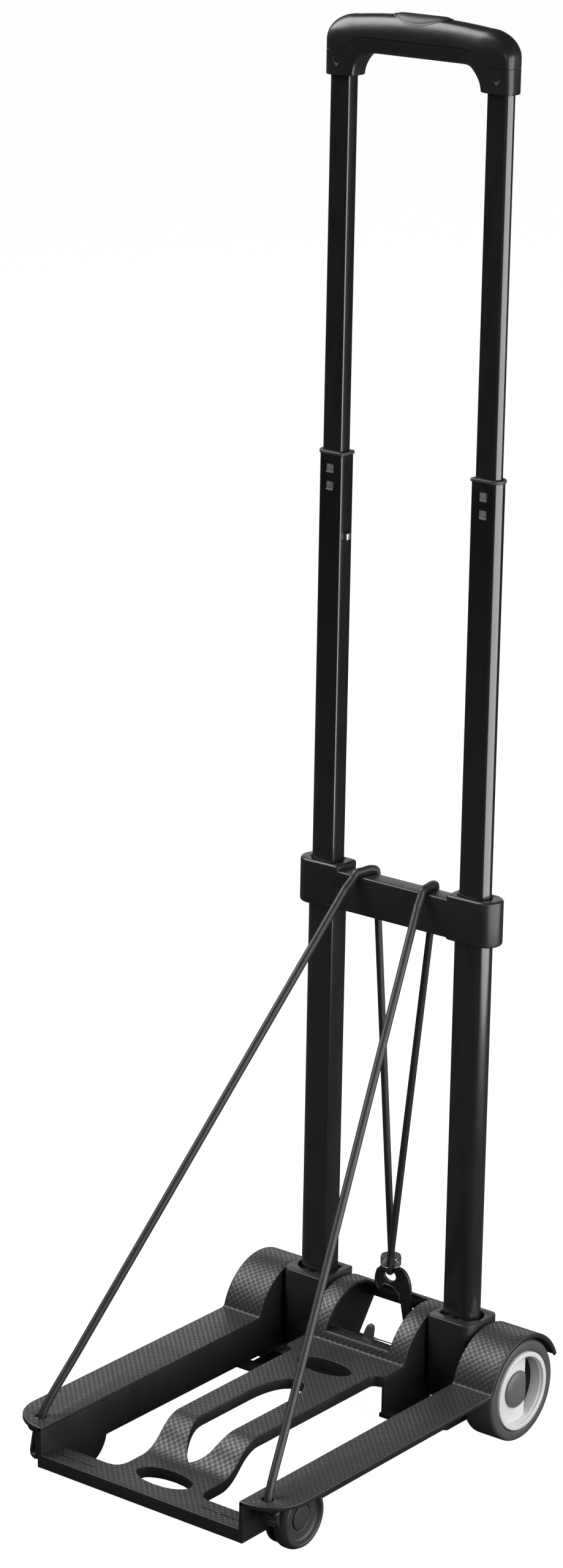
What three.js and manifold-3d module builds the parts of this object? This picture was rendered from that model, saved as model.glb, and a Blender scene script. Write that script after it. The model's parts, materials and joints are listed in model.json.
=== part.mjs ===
// Folding luggage cart: a moulded platform that swings about the rear axle, two telescopic
// D-section tubes in sockets, a release handle, four wheels and an elastic cord with a hook.
// Units are millimetres, +Z is up, -Y is the front of the platform and X runs along the axle.
import * as THREE from 'three';
import { mergeVertices } from 'three/addons/utils/BufferGeometryUtils.js';
import Module from 'manifold-3d';

const wasm = await Module();
wasm.setup();

// ---- driving dimensions -------------------------------------------------------------------
const GAP = 0.3; // clearance between neighbouring pieces
const ROUND = 0.75; // end radius left on a bevelled outline's face, as a share of its bevel

const AXLE_Z = 36.5; // height of the rear axle above the ground
const AXLE_R = 3;
const BORE_R = AXLE_R + GAP;
const WHEEL_R = 36.5;
const WHEEL_IN = 90; // inner face of a rear wheel
const WHEEL_OUT = 116; // outer face of a rear wheel
const RIM_R = 28.3;
const RIM_INNER_R = 24.8;
const HUB_FACE_X = 110.5;
const CAP_R = 13.3;
const CHORD_Y = 10.5; // straight side of the half-moon opening in a rear wheel
const CAP_CHORD_Y = 8.2; // a hub cap is trimmed along the same side

const DECK_Z = 47.5; // top of the rails and of the centre deck
const SKIN = 2.5; // moulded wall thickness
const ARCH_R = 41.8; // outer radius of the fenders and of the hump, about the axle
const ARCH_FOOT = Math.asin((DECK_Z - AXLE_Z) / ARCH_R); // angle where an arch leaves the deck
const ARCH_TAIL = 157 * Math.PI / 180; // angle of an arch's rear end, from the -Y axis
const FRONT_Y = -277.5;
const FLOOR_Z = 18; // underside of the walls
const RAIL_IN = 85;
const RAIL_WALL = 88.3;
const RAIL_OUT = 118;
const CORNER_R = 30;
const BAR_REAR_Y = -257;
const BAR_TOP = 27.3;
const LEG_X = 34; // outer edge of the two front legs of the centre deck
const STEP_Y = -69.5; // where the deck steps out to the hump's width
const HUMP_X = 43;
const WINDOW_X = 28;
const CORD_HOLE = { x: 97.5, y: -263, r: 4 };

const FRONT_WHEEL = { y: -229, z: 22.2, r: 22.2, inner: 90.5, outer: 103, pin: 2.5 };

const TUBE_X = 64.3; // centre of both tube stacks
const LOWER = { w: 24.7, d: 16.9, z0: 50, z1: 386 };
const MIDDLE = { w: 21.3, d: 13.8, z0: 337, z1: 675 };
const UPPER = { w: 17.7, d: 10.4, z0: 610, z1: 945 };
const TUBE_WALL = 0.8;
const LATCH_Z = { middle: 360, upper: 619 };

const BRACE = { in: 45.5, out: 84, front: -11.5, rear: 11.5, z0: 355.2, z1: 387.5 };
const BRIDGE = { front: -10.5, rear: 4.5, z0: 356.2, z1: 383.8 };
const SOCKET = { in: 45.5, out: 83, front: -19, rear: 16, z0: 21, z1: 80.5 };

const HANDLE = { legIn: 51.2, legOut: 74.8, legD: 16, z0: 930, top: 973.8, under: 946.5, gripD: 22 };
const CAVITY = { x: 60, y: 4.6, z0: 950.5, z1: 968.5, endX: 68, endZ: 963.5 };
const BUTTON = { a: 22, b: 9.2, z0: 965.6, rise: 1.2, travel: 4 };
const BUTTON_WELL = 961.2; // bottom of the button's well in the upper shell

const CORD_R = 2.2;
const HOOK = { y0: 5.2, y1: 7.8 };
const EYE_X = -4.6; // the hook's eye, the ferrule and the cord's loop are a little left of the middle

// The origin goes to the ground point under the middle of the outline's box.
const REAR_Y = 43;
const SHIFT_Y = -(FRONT_Y + REAR_Y) / 2;

// ---- solids -------------------------------------------------------------------------------
const toSolid = (geometry) => {
  const plain = geometry.index ? geometry.clone() : geometry;
  plain.deleteAttribute('normal');
  plain.deleteAttribute('uv');
  const merged = mergeVertices(plain, 1e-4);
  return new wasm.Manifold(new wasm.Mesh({
    numProp: 3,
    vertProperties: new Float32Array(merged.attributes.position.array),
    triVerts: new Uint32Array(merged.index.array),
  }));
};

const toGeometry = (solid) => {
  const mesh = solid.getMesh();
  const geometry = new THREE.BufferGeometry();
  geometry.setAttribute('position', new THREE.BufferAttribute(mesh.vertProperties, 3));
  geometry.setIndex(new THREE.BufferAttribute(mesh.triVerts, 1));
  return geometry;
};

const join = (...solids) => solids.reduce((a, b) => a.add(b));

const cut = (solid, ...tools) => tools.reduce((a, b) => a.subtract(b), solid);

const box = (x0, x1, y0, y1, z0, z1) => {
  const geometry = new THREE.BoxGeometry(x1 - x0, y1 - y0, z1 - z0);
  geometry.translate((x0 + x1) / 2, (y0 + y1) / 2, (z0 + z1) / 2);
  return toSolid(geometry);
};

const outline = (points) => new THREE.Shape(points.map(([a, b]) => new THREE.Vector2(a, b)));

// Turns a geometry so that its own (x, y, z) lands on the named axes.
const AXES = {
  z: [[1, 0, 0], [0, 1, 0], [0, 0, 1]],
  x: [[0, 1, 0], [0, 0, 1], [1, 0, 0]],
  y: [[0, 0, 1], [1, 0, 0], [0, 1, 0]],
};

const align = (geometry, axis) => {
  const [a, b, c] = AXES[axis].map((v) => new THREE.Vector3(...v));
  return geometry.applyMatrix4(new THREE.Matrix4().makeBasis(a, b, c));
};

// Extrudes a shape along an axis. Across x the shape's plane is (y, z); across y it is (z, x).
const extrude = (shape, axis, from, to, curveSegments = 8, bevel = 0) => {
  const geometry = new THREE.ExtrudeGeometry(shape, {
    depth: to - from - 2 * bevel,
    curveSegments,
    bevelEnabled: bevel > 0,
    bevelThickness: bevel,
    bevelSize: bevel * ROUND,
    bevelOffset: -bevel * ROUND,
    bevelSegments: 2,
  });
  geometry.translate(0, 0, from + bevel);
  return toSolid(align(geometry, axis));
};

const cylinder = (axis, radius, from, to, centre = [0, 0], segments = 16) => {
  const shape = new THREE.Shape();
  shape.absarc(centre[0], centre[1], radius, 0, 2 * Math.PI);
  return extrude(shape, axis, from, to, segments / 2);
};

// A closed profile of (radius, x) points turned about the X direction through (y, z).
const turned = (profile, y, z, segments = 24) => {
  const points = [...profile, profile[0]].map(([r, t]) => new THREE.Vector2(r, t));
  const geometry = new THREE.LatheGeometry(points, segments);
  geometry.rotateZ(-Math.PI / 2);
  geometry.translate(0, y, z);
  const solid = toSolid(geometry);
  return solid.volume() < 0 ? toSolid(flipped(geometry)) : solid;
};

const flipped = (geometry) => {
  const index = geometry.index.array;
  for (let i = 0; i < index.length; i += 3) {
    [index[i], index[i + 1]] = [index[i + 1], index[i]];
  }
  return geometry;
};

// A round bar along a smooth curve, with the same number of steps between every two points.
const sweep = (points, radius, stepsEach, sides) => {
  const curve = new THREE.CatmullRomCurve3(points.map((p) => new THREE.Vector3(...p)), false, 'centripetal');
  curve.getSpacedPoints = (count) => curve.getPoints(count);
  curve.getTangentAt = (t, target) => curve.getTangent(t, target);
  const steps = stepsEach * (points.length - 1);
  const section = new THREE.Shape();
  section.absarc(0, 0, radius, 0, 2 * Math.PI);
  return toSolid(new THREE.ExtrudeGeometry(section, {
    steps, curveSegments: sides / 2, extrudePath: curve, bevelEnabled: false,
  }));
};

// D-section: flat towards the cart's middle, half round on its outer side.
const dShape = (width, depth, centre = TUBE_X) => {
  const r = depth / 2;
  const shape = new THREE.Shape();
  shape.moveTo(centre - width / 2, -r);
  shape.lineTo(centre + width / 2 - r, -r);
  shape.absarc(centre + width / 2 - r, 0, r, -Math.PI / 2, Math.PI / 2);
  shape.lineTo(centre - width / 2, r);
  shape.closePath();
  return shape;
};

const dSolid = (width, depth, z0, z1) => extrude(dShape(width, depth), 'z', z0, z1);

// Ellipse in the XY plane, centred on the Y axis.
const oval = (y, a, b, z0, z1) => {
  const shape = new THREE.Shape();
  shape.absellipse(0, y, a, b, 0, 2 * Math.PI);
  return extrude(shape, 'z', z0, z1, 14);
};

// ---- the platform moulding ----------------------------------------------------------------
const archPoint = (angle, radius) => [-radius * Math.cos(angle), AXLE_Z + radius * Math.sin(angle)];

const archPoints = (from, to, radius, count = 14) => Array.from({ length: count + 1 },
  (_, i) => archPoint(from + (to - from) * i / count, radius));

const archShell = (x0, x1) => extrude(outline([
  ...archPoints(0, ARCH_TAIL, ARCH_R),
  ...archPoints(0, ARCH_TAIL, ARCH_R - SKIN).reverse(),
]), 'x', x0, x1);

// Side wall under an arch, with its slanted rear edge.
const archWallOutline = (frontY) => outline([
  [frontY, FLOOR_Z],
  [frontY, DECK_Z],
  ...archPoints(ARCH_FOOT, ARCH_TAIL, ARCH_R - 1, 10),
  [13, FLOOR_Z],
]);

const railFlange = () => {
  const shape = new THREE.Shape();
  shape.moveTo(RAIL_IN, FRONT_Y);
  shape.lineTo(RAIL_OUT - CORNER_R, FRONT_Y);
  shape.absarc(RAIL_OUT - CORNER_R, FRONT_Y + CORNER_R, CORNER_R, -Math.PI / 2, 0);
  shape.lineTo(RAIL_OUT, -ARCH_R * Math.cos(ARCH_FOOT) + SKIN);
  shape.lineTo(RAIL_IN, -ARCH_R * Math.cos(ARCH_FOOT) + SKIN);
  const hole = new THREE.Path();
  hole.absarc(CORD_HOLE.x, CORD_HOLE.y, CORD_HOLE.r, 0, 2 * Math.PI, true);
  shape.holes.push(hole);
  return extrude(shape, 'z', DECK_Z - SKIN, DECK_Z);
};

// Inner wall of a rail. It drops round the front wheel as a guard and fills the fender's side.
const railWall = () => {
  const front = extrude(outline([
    [FRONT_Y, FLOOR_Z], [FRONT_Y, DECK_Z], [-60, DECK_Z], [-60, FLOOR_Z],
  ]), 'x', RAIL_IN, RAIL_WALL);
  const rear = extrude(archWallOutline(-62), 'x', RAIL_IN, RAIL_WALL);
  const guard = cylinder('x', FRONT_WHEEL.r - 1.5, RAIL_IN, RAIL_WALL,
    [FRONT_WHEEL.y, FRONT_WHEEL.z], 32);
  return join(front, rear, guard);
};

// Gusset that closes the rail's corner behind the cord knot.
const railGusset = () => box(RAIL_IN, 101, -256, -253.8, 24, DECK_Z - 1);

const frontAxleBoss = () => cylinder('x', 6, RAIL_IN, FRONT_WHEEL.inner - GAP,
  [FRONT_WHEEL.y, FRONT_WHEEL.z], 20);

const rail = () => cut(
  join(railFlange(), railWall(), railGusset(), frontAxleBoss(), archShell(RAIL_IN, RAIL_OUT)),
  cylinder('x', BORE_R, RAIL_IN - 1, RAIL_WALL + 1, [0, AXLE_Z]),
  cylinder('x', FRONT_WHEEL.pin + GAP, RAIL_IN + 0.8, FRONT_WHEEL.inner, [FRONT_WHEEL.y, FRONT_WHEEL.z], 16),
);

const mirrored = (solid) => solid.mirror([1, 0, 0]);

const bothSides = (solid) => join(solid, mirrored(solid));

// The centre deck drops to the front bar in an S made of two equal arcs.
const DROP = { top: -193, foot: -232 };

const deckHeight = (y) => {
  const t = THREE.MathUtils.clamp((y - DROP.foot) / (DROP.top - DROP.foot), 0, 1);
  const half = t < 0.5 ? 2 * t * t : 1 - 2 * (1 - t) * (1 - t);
  return BAR_TOP + (DECK_Z - BAR_TOP) * half;
};

const deckSlab = () => {
  const depth = 8;
  const steps = Array.from({ length: 15 }, (_, i) => DROP.foot + (DROP.top - DROP.foot) * i / 14);
  const top = [BAR_REAR_Y + 1, ...steps, -38.5].map((y) => [y, deckHeight(y)]);
  const under = top.map(([y, z]) => [y, z - depth]).reverse();
  return extrude(outline([...top, ...under]), 'x', -HUMP_X, HUMP_X);
};

// Plan outline of the centre deck: flared feet on the bar, straight legs, then a step out to the hump.
const deckPlan = () => {
  const shape = new THREE.Shape();
  shape.moveTo(-LEG_X - 10, BAR_REAR_Y);
  shape.lineTo(LEG_X + 10, BAR_REAR_Y);
  shape.quadraticCurveTo(LEG_X, BAR_REAR_Y, LEG_X, BAR_REAR_Y + 12);
  shape.lineTo(LEG_X + 0.8, STEP_Y);
  shape.quadraticCurveTo(LEG_X + 0.8, STEP_Y + 5, LEG_X + 5.8, STEP_Y + 5);
  shape.lineTo(HUMP_X, -62.5);
  shape.lineTo(HUMP_X, -38);
  shape.lineTo(-HUMP_X, -38);
  shape.lineTo(-HUMP_X, -62.5);
  shape.lineTo(-LEG_X - 5.8, STEP_Y + 5);
  shape.quadraticCurveTo(-LEG_X - 0.8, STEP_Y + 5, -LEG_X - 0.8, STEP_Y);
  shape.lineTo(-LEG_X, BAR_REAR_Y + 12);
  shape.quadraticCurveTo(-LEG_X, BAR_REAR_Y, -LEG_X - 10, BAR_REAR_Y);
  return extrude(shape, 'z', 0, DECK_Z + 1);
};

// Long slot between the legs: pointed at the front, round at the rear.
const deckSlot = () => {
  const shape = new THREE.Shape();
  shape.moveTo(0, -224);
  shape.bezierCurveTo(10, -216, 15.5, -208, 15.5, -188);
  shape.lineTo(15.5, -140);
  shape.bezierCurveTo(15.5, -118, 9, -105, 0, -105);
  shape.bezierCurveTo(-9, -105, -15.5, -118, -15.5, -140);
  shape.lineTo(-15.5, -188);
  shape.bezierCurveTo(-15.5, -208, -10, -216, 0, -224);
  return extrude(shape, 'z', 0, DECK_Z + 1);
};

const humpSide = () => extrude(archWallOutline(-62.5), 'x', HUMP_X - SKIN, HUMP_X);

// Window in the hump, from just above its foot to the crossbar that the hook hangs on.
const humpWindow = () => extrude(outline([
  ...archPoints(24 * Math.PI / 180, 104 * Math.PI / 180, ARCH_R + 2, 8),
  ...archPoints(24 * Math.PI / 180, 104 * Math.PI / 180, ARCH_R - 2 * SKIN, 8).reverse(),
]), 'x', -WINDOW_X, WINDOW_X);

// Shelf behind the window's sill, with a finger tab on its rear edge.
const sillShelf = () => join(
  box(-HUMP_X + 1, HUMP_X - 1, -37, -26.5, 50.6, 53.2),
  extrude(outline([[-28.7, 52], [-26.7, 52], [-22.6, 62], [-24.6, 62]]), 'x', -2.2, 5.8),
);

const hump = () => join(
  cut(archShell(-HUMP_X, HUMP_X), humpWindow()),
  bothSides(cut(humpSide(), cylinder('x', BORE_R, 0, HUMP_X + 1, [0, AXLE_Z]))),
  sillShelf(),
);

// Floor between the hump and a rail. It steps down behind its front strip, and both walls reach
// down to it there, so that a socket can swing over it.
const TRAY = { front: -65.5, step: -56, low: -46, rear: -23, z0: 13.8, z1: 16.4 };

const floorWeb = () => join(
  extrude(outline([
    [TRAY.front, FLOOR_Z], [TRAY.front, FLOOR_Z + 3], [TRAY.step, FLOOR_Z + 3], [TRAY.low, TRAY.z1],
    [TRAY.rear, TRAY.z1], [TRAY.rear, TRAY.z0], [TRAY.low, TRAY.z0], [TRAY.step, FLOOR_Z],
  ]), 'x', HUMP_X - SKIN, RAIL_WALL),
  box(HUMP_X - SKIN, HUMP_X, TRAY.low, TRAY.rear, TRAY.z0, FLOOR_Z + 1),
  box(RAIL_IN, RAIL_WALL, TRAY.low, TRAY.rear, TRAY.z0, FLOOR_Z + 1),
);

// Collar that carries the rear opening's wall further down than the deck is thick.
const openingCollar = () => oval(-75.5, 24.3, 12.3, DECK_Z - 15, DECK_Z - 1);

const makePlatform = () => {
  const bar = box(-RAIL_WALL, RAIL_WALL, FRONT_Y, BAR_REAR_Y, FLOOR_Z, BAR_TOP);
  const deck = join(cut(deckSlab().intersect(deckPlan()), deckSlot()), openingCollar());
  const centre = cut(deck, oval(-75.5, 22.5, 10.5, 0, DECK_Z + 1));
  const body = join(bar, centre, hump(), bothSides(join(rail(), floorWeb())));
  return cut(body, oval(-250, 22.5, 11.5, 0, DECK_Z));
};

// ---- wheels -------------------------------------------------------------------------------
const makeTyre = () => turned([
  [RIM_R + GAP, WHEEL_IN], [WHEEL_R - 3, WHEEL_IN], [WHEEL_R, WHEEL_IN + 3],
  [WHEEL_R, WHEEL_OUT - 3], [WHEEL_R - 3, WHEEL_OUT], [RIM_R + GAP, WHEEL_OUT],
], 0, AXLE_Z, 32);

const makeHub = () => {
  const boss = 6.5;
  const hub = turned([
    [BORE_R, WHEEL_IN], [boss, WHEEL_IN], [boss, HUB_FACE_X - 3], [RIM_INNER_R, HUB_FACE_X - 3],
    [RIM_INNER_R, WHEEL_IN], [RIM_R, WHEEL_IN], [RIM_R, WHEEL_OUT + 0.5],
    [RIM_INNER_R, WHEEL_OUT + 0.5], [RIM_INNER_R, HUB_FACE_X], [BORE_R, HUB_FACE_X],
  ], 0, AXLE_Z, 32);
  const moon = cylinder('x', RIM_INNER_R - 0.5, 100, WHEEL_OUT, [0, AXLE_Z], 32)
    .intersect(box(100, WHEEL_OUT, CHORD_Y, 40, 0, 2 * AXLE_Z));
  return cut(hub, moon);
};

const makeHubCap = () => cut(turned([
  [0, HUB_FACE_X + GAP + 1.7], [4, HUB_FACE_X + GAP + 1.7], [4, HUB_FACE_X + GAP],
  [CAP_R, HUB_FACE_X + GAP], [CAP_R, HUB_FACE_X + 1.2], [CAP_R - 4, HUB_FACE_X + 2.8],
  [0, HUB_FACE_X + 3.4],
], 0, AXLE_Z, 20), box(HUB_FACE_X, WHEEL_OUT, CAP_CHORD_Y, 40, 0, 2 * AXLE_Z));

const makeAxle = () => {
  const end = HUB_FACE_X + 1;
  return cylinder('x', AXLE_R, -end, end, [0, AXLE_Z]);
};

const makeAxleWasher = () => turned([
  [AXLE_R + 0.2, RAIL_WALL + 0.3], [6, RAIL_WALL + 0.3], [6, WHEEL_IN - 0.3],
  [AXLE_R + 0.2, WHEEL_IN - 0.3],
], 0, AXLE_Z, 16);

const makeFrontWheel = () => {
  const { y, z, r, inner, outer, pin } = FRONT_WHEEL;
  return turned([
    [pin + GAP, inner], [r - 3.5, inner], [r, inner + 3.5], [r, outer - 3.5], [r - 3.5, outer],
    [r - 5.5, outer], [r - 6.5, outer - 3.5], [9, outer - 3.5], [9, outer - 5], [pin + GAP, outer - 5],
  ], y, z, 24);
};

const makeFrontWheelCap = () => {
  const { y, z, outer } = FRONT_WHEEL;
  return turned([[0, outer - 4.6], [8.6, outer - 4.6], [8.6, outer - 3], [0, outer - 2.4]], y, z, 16);
};

const makeFrontAxle = () => {
  const { y, z, outer, pin } = FRONT_WHEEL;
  return cylinder('x', pin, RAIL_IN + 0.8 + GAP, outer - 5, [y, z], 16);
};

// ---- sockets, tubes and brace -------------------------------------------------------------
const makeSocket = () => {
  const shape = new THREE.Shape();
  const r = 9;
  shape.moveTo(SOCKET.in, SOCKET.front + 5);
  shape.quadraticCurveTo(SOCKET.in, SOCKET.front, SOCKET.in + 5, SOCKET.front);
  shape.lineTo(SOCKET.out - r, SOCKET.front);
  shape.absarc(SOCKET.out - r, SOCKET.front + r, r, -Math.PI / 2, 0);
  shape.lineTo(SOCKET.out, SOCKET.rear - 6);
  shape.absarc(SOCKET.out - 6, SOCKET.rear - 6, 6, 0, Math.PI / 2);
  shape.lineTo(SOCKET.in, SOCKET.rear);
  const blank = extrude(shape, 'z', SOCKET.z0, SOCKET.z1);
  return cut(
    blank,
    dSolid(LOWER.w + 2 * GAP, LOWER.d + 2 * GAP, LOWER.z0 - GAP, SOCKET.z1 + 1),
    cylinder('x', AXLE_R + GAP, SOCKET.in - 1, SOCKET.out + 1, [0, AXLE_Z]),
    cylinder('y', 2.2 + GAP, 0, SOCKET.rear + 1, [62, TUBE_X], 16),
  );
};

const makeSocketPin = () => cylinder('y', 2.2, LOWER.d / 2 - 0.7, SOCKET.rear - 0.5, [62, TUBE_X], 16);

const hollowTube = ({ w, d, z0, z1 }) => cut(
  dSolid(w, d, z0, z1),
  dSolid(w - 2 * TUBE_WALL, d - 2 * TUBE_WALL, z0 - 1, z1 + 1),
);

const LUG = { y: 2.4, z: 2.6 };

const latchHole = (z) => box(48, 60, -LUG.y - GAP, LUG.y + GAP, z - LUG.z - GAP, z + LUG.z + GAP);

const makeLowerTube = () => cut(
  hollowTube(LOWER),
  cylinder('y', 2.2 + GAP, 0, SOCKET.rear, [62, TUBE_X], 16),
  latchHole(LATCH_Z.middle),
);

// Window centres of the two snap tabs on a middle tube's front face.
const TAB = { x: TUBE_X - 0.9, zs: [665.7, 653.6], size: 6.6 };

const tabBlock = (z, y0, y1, grow) => {
  const half = TAB.size / 2 + grow;
  return box(TAB.x - half, TAB.x + half, y0, y1, z - half, z + half);
};

const makeMiddleTube = () => cut(
  hollowTube(MIDDLE),
  latchHole(LATCH_Z.middle),
  latchHole(LATCH_Z.upper),
  ...TAB.zs.map((z) => tabBlock(z, -8, 0, 0)),
);

const makeUpperTube = () => cut(
  hollowTube(UPPER),
  latchHole(LATCH_Z.upper),
  cylinder('y', 1.6 + GAP, -8, 0, [939.3, TUBE_X], 14),
);

// Plastic rim on a middle tube, with a thin sleeve that carries the snap tabs.
const makeCollar = () => {
  const slide = 0.5;
  const sleeve = 1.2;
  const bore = dSolid(UPPER.w + slide, UPPER.d + slide, 600, 700);
  const rim = dSolid(MIDDLE.w + 1.6, MIDDLE.d + 1.6, MIDDLE.z1 + 0.2, MIDDLE.z1 + 2.6);
  const skirt = dSolid(UPPER.w + sleeve, UPPER.d + sleeve, MIDDLE.z1 - 32, MIDDLE.z1 + 1);
  const tabs = TAB.zs.map((z) => tabBlock(z, -MIDDLE.d / 2 + 0.25, -5.1, -0.25));
  return cut(join(rim, skirt, ...tabs), bore);
};

// Sliding plug in the bottom end of a tube: a flange below it and a hollow stem inside it.
const makeGlide = (tube, outer, flangeZ, stemZ) => {
  const clear = 0.35;
  const inside = 2 * TUBE_WALL;
  const flange = dSolid(outer.w - inside - clear, outer.d - inside - clear, flangeZ, tube.z0 - GAP);
  const stem = dSolid(tube.w - inside - clear, tube.d - inside - clear, tube.z0 - 1, stemZ);
  return cut(join(flange, stem), cylinder('z', 2.6, tube.z0 - 8, tube.z0 + 14, [TUBE_X, 0], 16));
};

// Spring-loaded lug: a square nose through the tube walls on a wedge block inside.
const makeLatch = (tube, z, reach, below, above) => {
  const face = TUBE_X - tube.w / 2 + TUBE_WALL + 0.4;
  const nose = box(reach, face + 1, -LUG.y, LUG.y, z - LUG.z, z + LUG.z);
  const block = extrude(outline([
    [z - below, face], [z - below, face + 4.5], [z + above - 4, face + 4.5],
    [z + above, face + 1.2], [z + above, face],
  ]), 'y', -3.4, 3.4);
  return join(nose, block);
};

// Coil spring along X between a latch block and the round side of its tube.
const makeLatchSpring = (tube, z) => {
  const start = TUBE_X - tube.w / 2 + TUBE_WALL + 5.4;
  const end = TUBE_X + tube.w / 2 - TUBE_WALL - 1.5;
  const turns = 3.5;
  const count = turns * 8;
  const points = Array.from({ length: count + 1 }, (_, i) => {
    const a = 2 * Math.PI * i / 8;
    return [start + 0.5 + (end - start - 1) * i / count, 2 * Math.cos(a), z - 1 + 2 * Math.sin(a)];
  });
  return sweep(points, 0.35, 1, 4);
};

const makeBrace = () => {
  const blockShape = dShape(BRACE.out - BRACE.in, BRACE.rear - BRACE.front, (BRACE.in + BRACE.out) / 2);
  const block = extrude(blockShape, 'z', BRACE.z0, BRACE.z1, 8, 1.2);
  const lower = dSolid(LOWER.w + 2 * GAP, LOWER.d + 2 * GAP, BRACE.z0 - 1, LOWER.z1 + GAP);
  const middle = dSolid(MIDDLE.w + 2 * GAP, MIDDLE.d + 2 * GAP, BRACE.z0, BRACE.z1 + 1);
  const pocket = box(48, 60, -LUG.y - 1, LUG.y + 1, LATCH_Z.middle - 4, LATCH_Z.middle + 4);
  const screw = cylinder('y', 1.8 + GAP, 0, BRACE.rear + 1, [376, TUBE_X], 14);
  const end = cut(block, lower, middle, pocket, screw);
  const bridge = box(-BRACE.in - 1, BRACE.in + 1, BRIDGE.front, BRIDGE.rear, BRIDGE.z0, BRIDGE.z1);
  return join(bridge, bothSides(end));
};

const makeBraceScrew = () => join(
  cylinder('y', 1.5, LOWER.d / 2 + 0.6, BRACE.rear, [376, TUBE_X], 14),
  cylinder('y', 3.2, BRACE.rear + GAP, BRACE.rear + 1.8, [376, TUBE_X], 18),
  cylinder('y', 1.5, BRACE.rear - 1, BRACE.rear + 1, [376, TUBE_X], 14),
);

// ---- handle -------------------------------------------------------------------------------
// Arch of the handle in its (z, x) plane: round outer shoulders and round inner corners.
const handleArch = () => {
  const { legIn, legOut, z0, top, under } = HANDLE;
  const shoulder = { x: 22, z: 17, from: 954 };
  const corner = 16;
  const shoulderX = legOut - shoulder.x;
  const shape = new THREE.Shape();
  shape.moveTo(z0, legIn);
  shape.lineTo(z0, legOut);
  shape.lineTo(shoulder.from, legOut);
  shape.absellipse(shoulder.from, shoulderX, shoulder.z, shoulder.x, Math.PI / 2, 0, true);
  shape.quadraticCurveTo(top, 27, top, 0);
  shape.quadraticCurveTo(top, -27, shoulder.from + shoulder.z, -shoulderX);
  shape.absellipse(shoulder.from, -shoulderX, shoulder.z, shoulder.x, 0, -Math.PI / 2, true);
  shape.lineTo(z0, -legOut);
  shape.lineTo(z0, -legIn);
  shape.absarc(under - corner, corner - legIn, corner, -Math.PI / 2, 0, false);
  shape.absarc(under - corner, legIn - corner, corner, 0, Math.PI / 2, false);
  shape.closePath();
  return shape;
};

const handleBlank = () => {
  const legs = extrude(handleArch(), 'y', -HANDLE.legD / 2, HANDLE.legD / 2, 6, 2.5);
  const wide = extrude(handleArch(), 'y', -HANDLE.gripD / 2, HANDLE.gripD / 2, 6, 6);
  const gripZone = box(-62, 62, -HANDLE.gripD, HANDLE.gripD, HANDLE.under - 2, HANDLE.top + 2);
  return join(legs, wide.intersect(gripZone));
};

const legSockets = () => bothSides(
  dSolid(UPPER.w + 2 * GAP, UPPER.d + 2 * GAP, HANDLE.z0 - 1, CAVITY.z0 + 1),
);

const handleHollow = () => join(
  box(-CAVITY.x, CAVITY.x, -CAVITY.y, CAVITY.y, CAVITY.z0, CAVITY.z1),
  box(-CAVITY.endX, CAVITY.endX, -CAVITY.y, CAVITY.y, CAVITY.z0, CAVITY.endZ),
  legSockets(),
);

// Everything below the parting line between the two shells.
const SEAM = { grip: 957.6, leg: 947, bend: 45, end: 61 };

const belowSeam = (offset) => {
  const slope = (SEAM.grip - SEAM.leg) / (SEAM.end - SEAM.bend);
  const reach = 5;
  const half = [
    [SEAM.end + 20, SEAM.leg], [SEAM.end, SEAM.leg], [SEAM.bend + reach, SEAM.grip - slope * reach],
    [SEAM.bend + 1, SEAM.grip - slope * 2.1], [SEAM.bend - 3, SEAM.grip - 0.5], [SEAM.bend - 9, SEAM.grip],
  ];
  const line = [...half, ...half.map(([x, z]) => [-x, z]).reverse()];
  const points = [[900, -81], [900, 81], ...line.map(([x, z]) => [z + offset, x])];
  return extrude(outline(points), 'y', -30, 30);
};

const buttonOpening = () => oval(0, BUTTON.a + GAP, BUTTON.b + GAP, BUTTON_WELL, 990);

const screwBore = () => bothSides(join(
  cylinder('y', 2.6, -20, -6.6, [939.3, TUBE_X], 16),
  cylinder('y', 1.6 + GAP, -20, -2, [939.3, TUBE_X], 14),
));

const makeHandleTop = () => cut(handleBlank(), belowSeam(0.1), handleHollow(), buttonOpening());

const makeHandleBottom = () => cut(
  handleBlank().intersect(belowSeam(-0.1)), handleHollow(), screwBore(),
);

const makeHandleScrew = () => join(
  cylinder('y', 2.3, -7.9, -6.9, [939.3, TUBE_X], 16),
  cylinder('y', 1.4, -7.5, -2.2, [939.3, TUBE_X], 14),
);

// The button follows the grip's own curve, a little proud of it, on a block that meets the yoke.
const makeButton = () => join(
  oval(0, BUTTON.a, BUTTON.b, BUTTON.z0, 990).intersect(handleBlank().translate([0, 0, BUTTON.rise])),
  box(-6, 6, -3.5, 3.5, CAVITY.z0 + 12, BUTTON.z0 + 1),
);

const YOKE = { z0: 957.5, z1: 961.5 };

// Crossbar under the button with one push rod down each upper tube.
const makeYoke = () => join(
  box(-66.5, 66.5, -2.5, 2.5, YOKE.z0, YOKE.z1),
  bothSides(cylinder('z', 1.5, LATCH_Z.upper + 13, YOKE.z0 + 1, [TUBE_X, 0], 12)),
);

const makeButtonSpring = () => {
  const turns = 4;
  const count = turns * 8;
  const bottom = CAVITY.z0 + 0.6;
  const points = Array.from({ length: count + 1 }, (_, i) => {
    const a = 2 * Math.PI * i / 8;
    return [2.2 * Math.cos(a), 2.2 * Math.sin(a), bottom + (YOKE.z0 - 0.8 - bottom) * i / count];
  });
  return sweep(points, 0.4, 1, 4);
};

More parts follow.
